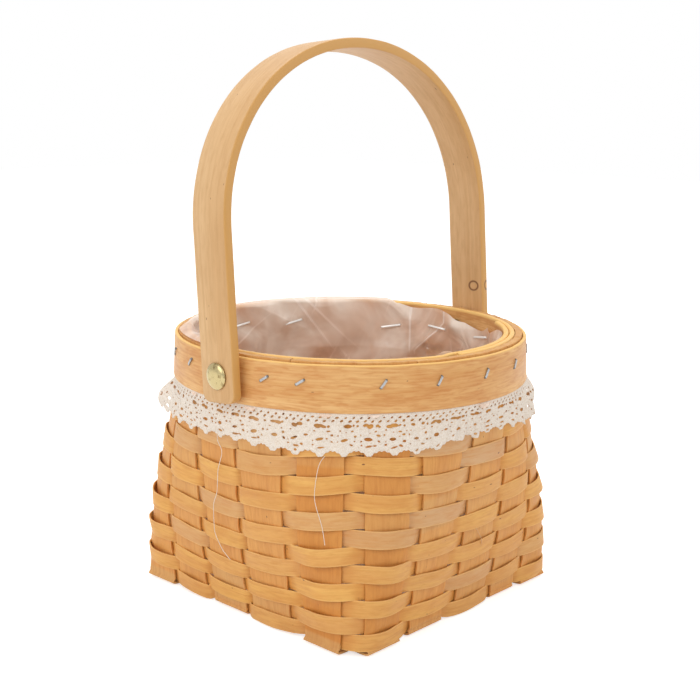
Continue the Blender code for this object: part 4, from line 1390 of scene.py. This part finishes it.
# %% Hang the film in the basket
FILM_EDGE_LOW = 0.0006
STAPLE_HOLD = 0.85
CREASES_FROM_Z = 0.104
LONG_CREASE, LONG_CREASE_HALF = 0.0010, 0.0022
FOOT_ROUND, FOOT_IN = 0.012, 0.006
ROLL, ROLL_POWER, ROLL_BULGE = 0.0052, 1.3, 0.0013


def beside(azimuth):
    """How far each spot of the film lies round the rim from an azimuth in degrees."""
    return degrees_from(around, azimuth) * math.pi / 180 * FILM_RADIUS


def film_spot(z, azimuth, wide, height, high):
    """One at a spot of the film, fading out round it and up and down."""
    return bell(beside(azimuth), wide) * bell(z - height, high)


# the cut edge wanders, and is low at the right and a little high in front
low = 0.0050 + slow_waves(share, 16, range(9, 30), 0.0007)
rim_z = RIM_Z - FILM_EDGE_LOW + slow_waves(share, 15, range(3, 24), 0.0006)
rim_z = (rim_z - window(share, -36, -4, 16) * low
         + 0.0013 * window(share, -130, -98, 12))[:, None]
z = rim_z - drop * (rim_z - FILM_FLOOR_Z) / levels[-1]

# folds and pillows stand off the wall, less near the rim and not at all at a staple
held = np.zeros(z.shape)
for azimuth, _, _ in LINER_STAPLES:
    held = np.maximum(held, film_spot(z, azimuth, 0.010, LINER_STAPLE_Z, 0.006))
release = eased((HOOP_FOOT_Z + 0.004 - z) / 0.02)
loose = np.clip((RIM_Z + 0.004 - z) / 0.012, 0.25, 1) * (1 - STAPLE_HOLD * held)
pillow = 0.0016 + 0.0014 * np.sin(2 * math.pi * around * 11 + 3 * np.sin(drop * 90))
away = (np.abs(lift) + pillow) * loose
away += 0.0034 * film_spot(z, -4, 0.008, 0.1241, 0.006)

# two long creases run down from the rim at the back right
near_rim = np.clip((z - CREASES_FROM_Z) / 0.006, 0, 1)
slanted = 14.5 - 13.5 * np.clip((z - 0.108) / 0.018, 0, 1)
for line in (beside(17), beside(slanted)):
    away += LONG_CREASE * near_rim * bell(line, LONG_CREASE_HALF)
    # and a painted highlight along each long fold
    crease_highlight = np.maximum(crease_highlight, near_rim * bell(line, CREASE_HALF))
foot = np.clip((FOOT_ROUND - (z - FILM_FLOOR_Z)) / FOOT_ROUND, 0, 1)
out = FILM_AGAINST + (FILM_BELOW - FILM_AGAINST) * release - away - FOOT_IN * foot**2
lap_low = np.clip((z - HOOP_FOOT_Z + 0.006) / 0.004, 0, 1)
out -= window(around, -106, -28, 8) * (INNER_HOOP_THICK + FIT) * lap_low

# along the back left the film is rolled out over the inner hoop and hides it
rolled = window(around, 24, 178, 10)
turned = np.clip(drop / ROLL, 0, 1)
top_z = RIM_Z + INNER_HOOP_RISE
over = FILM_AGAINST + (INNER_HOOP_THICK + 0.0011) * (1 - turned) ** ROLL_POWER
over += 0.0032 * window(around, 138, 180, 14) * (1 - turned) ** ROLL_POWER
over_z = top_z + 0.0004 + ROLL_BULGE * np.sin(math.pi * turned ** 0.8)
below = top_z - (drop - ROLL) * (top_z - FILM_FLOOR_Z) / (levels[-1] - ROLL)
z = z + rolled * (np.where(drop < ROLL, over_z, below) - z)
out = out + rolled * (np.where(drop < ROLL, over, out) - out)
sheer = film_spot(z, 6, 0.014, 0.108, 0.007) + 0.6 * film_spot(z, 60, 0.02, 0.121, 0.006)
wall = section_point(around, z, out)
print("film lies", [round(float(far) * 1000, 1) for far in (out.min(), out.max())], "mm out")

# %% [markdown]
# The wall of the bag goes on as a floor that lies on the base weave, drawn together to the
# middle in radial folds. The film stays a single sheet, because its real thickness is far too
# small to show. It keeps its creases, for a painted highlight along them, and its clearest
# places as attributes for the finish. A few scraps of its edge hang out below the outer hoop.

# %% Make the film bag
SCRAPS = (  # azimuth, width and how far it hangs down
    (216, 0.0060, 0.0016), (230, 0.0050, 0.0014), (266.8, 0.0085, 0.0026),
    (192.8, 0.0070, 0.0018), (168, 0.0050, 0.0016))
SCRAP_RADIUS = 0.0911
SCRAP_ACROSS, SCRAP_DOWN = 9, 4
FLOOR_STEPS = 17

parts = np.linspace(1, 0, FLOOR_STEPS)[1:-1]
radial = slow_waves(share, 21, range(9, 40), 0.0011)
floor_z = FILM_FLOOR_Z + np.abs(radial)[:, None] * np.minimum(1, 3 * parts) * (
    0.4 + 0.6 * parts)
floor_part = np.concatenate([wall[:, -1:, :2] * parts[:, None], floor_z[..., None]], axis=2)
floor_crease_highlight = 0.6 * bell(radial, 0.00015)[:, None] * parts
bag = np.concatenate([wall, floor_part], axis=1)
columns, rows = bag.shape[:2]
pole = columns * rows
faces = []
for column in range(columns):
    one, two = column * rows, (column + 1) % columns * rows
    faces += [(one + j, one + j + 1, two + j + 1, two + j) for j in range(rows - 1)]
    faces.append((one + rows - 1, pole, two + rows - 1))
scraps, scrap_flat = [], []
for azimuth, wide, low in SCRAPS:
    first = pole + 1 + len(scraps)
    for a in (first + i * SCRAP_DOWN + j
              for i in range(SCRAP_ACROSS - 1) for j in range(SCRAP_DOWN - 1)):
        faces.append((a, a + 1, a + 1 + SCRAP_DOWN, a + SCRAP_DOWN))
    for across in np.linspace(-1, 1, SCRAP_ACROSS):
        spread = (azimuth + FIRST_CORNER
                  + across * wide / 2 / SCRAP_RADIUS * 180 / math.pi) / 360
        tip = low * (1 - abs(across) ** 2.5) * (0.85 + 0.15 * math.sin(9 * across + azimuth))
        for step in np.linspace(0, 1, SCRAP_DOWN):
            scraps.append(section_point(spread, HOOP_FOOT_Z - FIT - 0.0002 - tip * step,
                                        SKIN + 0.0020 + 0.0008 * step))
            scrap_flat.append((azimuth / 90 + across * wide, 0.3 + step * low, 0))
film_mesh = bpy.data.meshes.new("film_bag")
film_mesh.from_pydata(np.concatenate(
    [bag.reshape(-1, 3), [[0, 0, FILM_FLOOR_Z]], scraps]).tolist(), [], faces)
rest = np.zeros(1 + len(scraps))
# closeness to a fold line, for the painted highlight in the finish
keep(film_mesh, "crease_highlight", np.append(
    np.concatenate([crease_highlight, floor_crease_highlight], axis=1).ravel(), rest))
keep(film_mesh, "sheer", np.append(np.pad(sheer, ((0, 0), (0, len(parts)))).ravel(), rest))
flat_place = np.zeros((columns, rows, 3), np.float32)
flat_place[:, :, 0] = share[:, None] * FILM_ROUND
flat_place[:, :, 1] = np.concatenate([levels, levels[-1] + 0.07 * (1 - parts)])
keep(film_mesh, "strip", np.append(flat_place.ravel(), [(0, 0.2, 0)] + scrap_flat), True)
film_mesh.shade_smooth()
film_bag = placed("film_bag", film_mesh)
print("film bag has", len(faces), "faces")

# %% [markdown]
# Clouds of two warm tones colour the film, and its creases get a painted highlight. It lets more
# light through where it is thin, and less along a crease.

# %% Film
def film_material():
    """Clouded film: thin and pale, with a painted highlight along its creases and a soft sheen.
    """
    made, tree, shader = new_finish("liner_film", {"IOR": 1.45})
    cloud = noise(tree, kept(tree, "strip", "Vector"), 34.0, 3.0, 0.8)
    fold = kept(tree, "crease_highlight")
    tone = blended(tree, linear(253, 220, 197), linear(255, 241, 228),
                   ranged(tree, cloud, 0.38, 0.64))
    # painted highlight: a whiter tone along the creases
    tone = blended(tree, tone, linear(250, 240, 234), ranged(tree, fold, 0.1, 0.9, 0.0, 0.8))
    wire(tree, tone, shader, "Base Color")
    seen = calc(tree, "ADD", ranged(tree, cloud, 0.36, 0.66, 0.56, 0.90),
                ranged(tree, kept(tree, "sheer"), 0.0, 1.0, 0.0, -0.24))
    seen = calc(tree, "ADD", seen, ranged(tree, fold, 0.1, 0.9, 0.0, 0.3))
    seen.use_clamp = True
    wire(tree, seen, shader, "Alpha")
    wire(tree, ranged(tree, cloud, 0.3, 0.7, 0.26, 0.42), shader, "Roughness")
    add_relief(tree, shader, cloud, 0.25, 0.001)
    return made


film_mesh.materials.append(film_material())
hand_over(film_bag, "liner_film", "film_liner")
print("film finish", film_mesh.materials[0].name)

# %% [markdown]
# Staples are the same bit of wire again and again, so they are instances on points. The
# points carry the way the crown runs and the way it faces. The wire itself is a bent
# line with rounded corners, swept with a flat rounded profile inside the same tree.

# %% Geometry Nodes tree for staples
def staple_tree():
    """Puts a bent wire on every point, crown along one direction and legs inwards."""
    tree, start, end = new_maker(
        "stapling", "Crown", "Leg", "Wire Wide", "Wire Thick", "Bend")
    half = calc(tree, "MULTIPLY", (start, "Crown"), 0.5)
    left = calc(tree, "MULTIPLY", half, -1)
    down = calc(tree, "MULTIPLY", (start, "Leg"), -1)
    corners = [put(tree, "ShaderNodeCombineXYZ", {"X": side, "Z": depth})
               for side, depth in ((left, down), (left, 0), (half, 0), (half, down))]
    line = put(tree, "GeometryNodeCurvePrimitiveQuadrilateral", {
        f"Point {place + 1}": corner for place, corner in enumerate(corners)}, mode="POINTS")
    bent = put(tree, "GeometryNodeFilletCurve", {
        "Curve": put(tree, "GeometryNodeSetSplineCyclic", {"Geometry": line}),
        "Radius": (start, "Bend"), "Count": 4}, mode="POLY")
    facing = put(tree, "GeometryNodeSetCurveNormal", {
        "Curve": bent, "Normal": (0, 1, 0)}, mode="FREE")
    radius = calc(tree, "MULTIPLY", (start, "Wire Thick"), 0.46)
    sweep = put(tree, "GeometryNodeCurveToMesh", {
        "Curve": facing, "Fill Caps": True, "Profile Curve": rounded_profile(
            tree, (start, "Wire Thick"), (start, "Wire Wide"), radius, 2)})
    parts = put(tree, "ShaderNodeSeparateXYZ", {0: put(tree, "GeometryNodeInputPosition")})
    reached = calc(tree, "ABSOLUTE", calc(tree, "DIVIDE", (parts, "X"), half))
    turn = put(tree, "FunctionNodeAxesToRotation", {
        "Primary Axis": read(tree, "facing"), "Secondary Axis": read(tree, "run")},
        primary_axis="Z", secondary_axis="X")
    spots = put(tree, "GeometryNodeInstanceOnPoints", {
        "Points": (start, "Geometry"), "Rotation": turn,
        "Instance": stored(tree, "reach", sweep, reached, "FLOAT")})
    return close_maker(tree, start, end, spots)


STAPLING = staple_tree()
print("staple tree has", len(STAPLING.nodes), "nodes")

# %% [markdown]
# Fourteen staples hold the outer hoop and eight hold the film. Those in sight were placed one by
# one, and the others follow at about the same distances.

# %% Staples
WIRE_WIDE = 0.0012
WIRE_THICK = 0.0006
WIRE_BEND = 0.00055
RIM_STAPLES = (  # azimuth and slant
    (148.4, 50), (164.8, 48), (197.2, 34), (208.4, 33), (232.4, 55), (249.7, 62),
    (267.7, 62), (284.7, 59), (310, 55), (335, 60), (18, 45), (43, 58), (84, 62), (118, 50))


def make_staples(name, places, crown, leg, radius, z, side, tilt):
    """One piece with every staple of a set."""
    points, facing, run = [], [], []
    for azimuth, slant, *above in places:
        angle, lean = math.radians(azimuth), math.radians(slant)
        outwards = Vector((math.cos(angle), math.sin(angle), 0))
        tangent = Vector((-outwards.y, outwards.x, 0))
        points.append(outwards * radius + Vector((0, 0, z + sum(above))))
        facing.append((outwards * side + Vector((0, 0, tilt))).normalized())
        run.append(tangent * math.cos(lean) + Vector((0, 0, 1)) * math.sin(lean))
    mesh = bpy.data.meshes.new(name)
    mesh.from_pydata(points, [], [])
    keep(mesh, "facing", facing, True)
    keep(mesh, "run", run, True)
    made = run_tree(name, mesh, STAPLING, {
        "Crown": crown - WIRE_THICK, "Leg": leg, "Wire Wide": WIRE_WIDE,
        "Wire Thick": WIRE_THICK, "Bend": WIRE_BEND, "Material": STEEL})
    made.data.shade_smooth()
    made.data.set_sharp_from_angle(angle=math.radians(40))
    return hand_over(made, "staple_steel", *(
        f"{name[:-1]}_{place + 1:02d}" for place in range(len(places))))


rim_staple_z = HOOP_FOOT_Z + 0.62 * (RIM_Z - HOOP_FOOT_Z)
rim_face = float(half_side(rim_staple_z)) + HOOP_OFFSET + OUTER_HOOP_THICK
rim_staples = make_staples("rim_staples", RIM_STAPLES, 0.0054, 0.0014,
                           rim_face + FIT + WIRE_THICK / 2, rim_staple_z, 1, 0.0)
film_face = float(half_side(LINER_STAPLE_Z)) + FILM_AGAINST
liner_staples = make_staples("liner_staples", LINER_STAPLES, 0.012, 0.0036,
                             film_face - 0.0022, LINER_STAPLE_Z, -1, 0.3)
# painted light on the staples of the film
keep(liner_staples.data, "painted_light", 0.85)
print("staples", len(rim_staples.data.polygons), len(liner_staples.data.polygons), "faces")

# %% [markdown]
# Two loose threads of the lace's cotton lie across the weave, and one splinter has come away
# from a weaver. Each is a thin line through a few places that were read off, carried over the
# rounded rows with the same strip tree.

# %% Loose threads and a splinter
STRANDS = (
    # name, finish, slot, width, thickness, places as (share round, height, distance out) in mm
    ("loose_thread_left", COTTON, "lace_cotton", 0.00032, 0.00022, (
        (0.6194, 93.5, 2.6), (0.6200, 90.0, 2.7), (0.6243, 85.0, 2.7), (0.6181, 75.0, 2.8),
        (0.6146, 63.5, 2.8), (0.6090, 55.5, 2.8), (0.6076, 43.0, 2.9), (0.6146, 34.0, 2.9),
        (0.6236, 29.0, 2.6))),
    ("loose_thread_right", COTTON, "lace_cotton", 0.00028, 0.00020, (
        (0.7250, 92.0, 2.7), (0.7208, 88.0, 2.7), (0.7181, 74.5, 2.8), (0.7250, 60.0, 2.8),
        (0.7271, 52.5, 2.6))),
    ("splinter", WEAVER_WOOD, "weaver_wood", 0.00040, 0.00025, (
        (0.8750, 46.8, 2.0), (0.8780, 44.0, 2.9), (0.8830, 40.0, 3.0), (0.8868, 36.0, 2.4))),
)
STRAND_STEPS = 14
STRAND_ROUGH = (0.00025, 180.0)


def make_strand(name, finish, slot, width, thick, places):
    """A thin strand through a few places on the body, as a swept strip."""
    steps = np.linspace(0, len(places) - 1, STRAND_STEPS * len(places))
    share, height, out = (smooth_through(np.arange(len(places)), values, steps)
                          for values in zip(*places))
    points = section_point(share, height / 1000, out / 1000)
    outward = unit(section_point(share, height / 1000, out / 1000 + 0.001) - points)
    sideways = unit(np.cross(outward, unit(np.gradient(points, axis=0))))
    made = bend(name, (points, outward, sideways, 1.0), (width, thick, 0.4 * thick),
                STRAND_ROUGH, 1.0, finish)
    if name == "splinter":
        keep(made.data, "weather", 1.0)
    return hand_over(made, slot)


for strand in STRANDS:
    print("strand", make_strand(*strand).name)
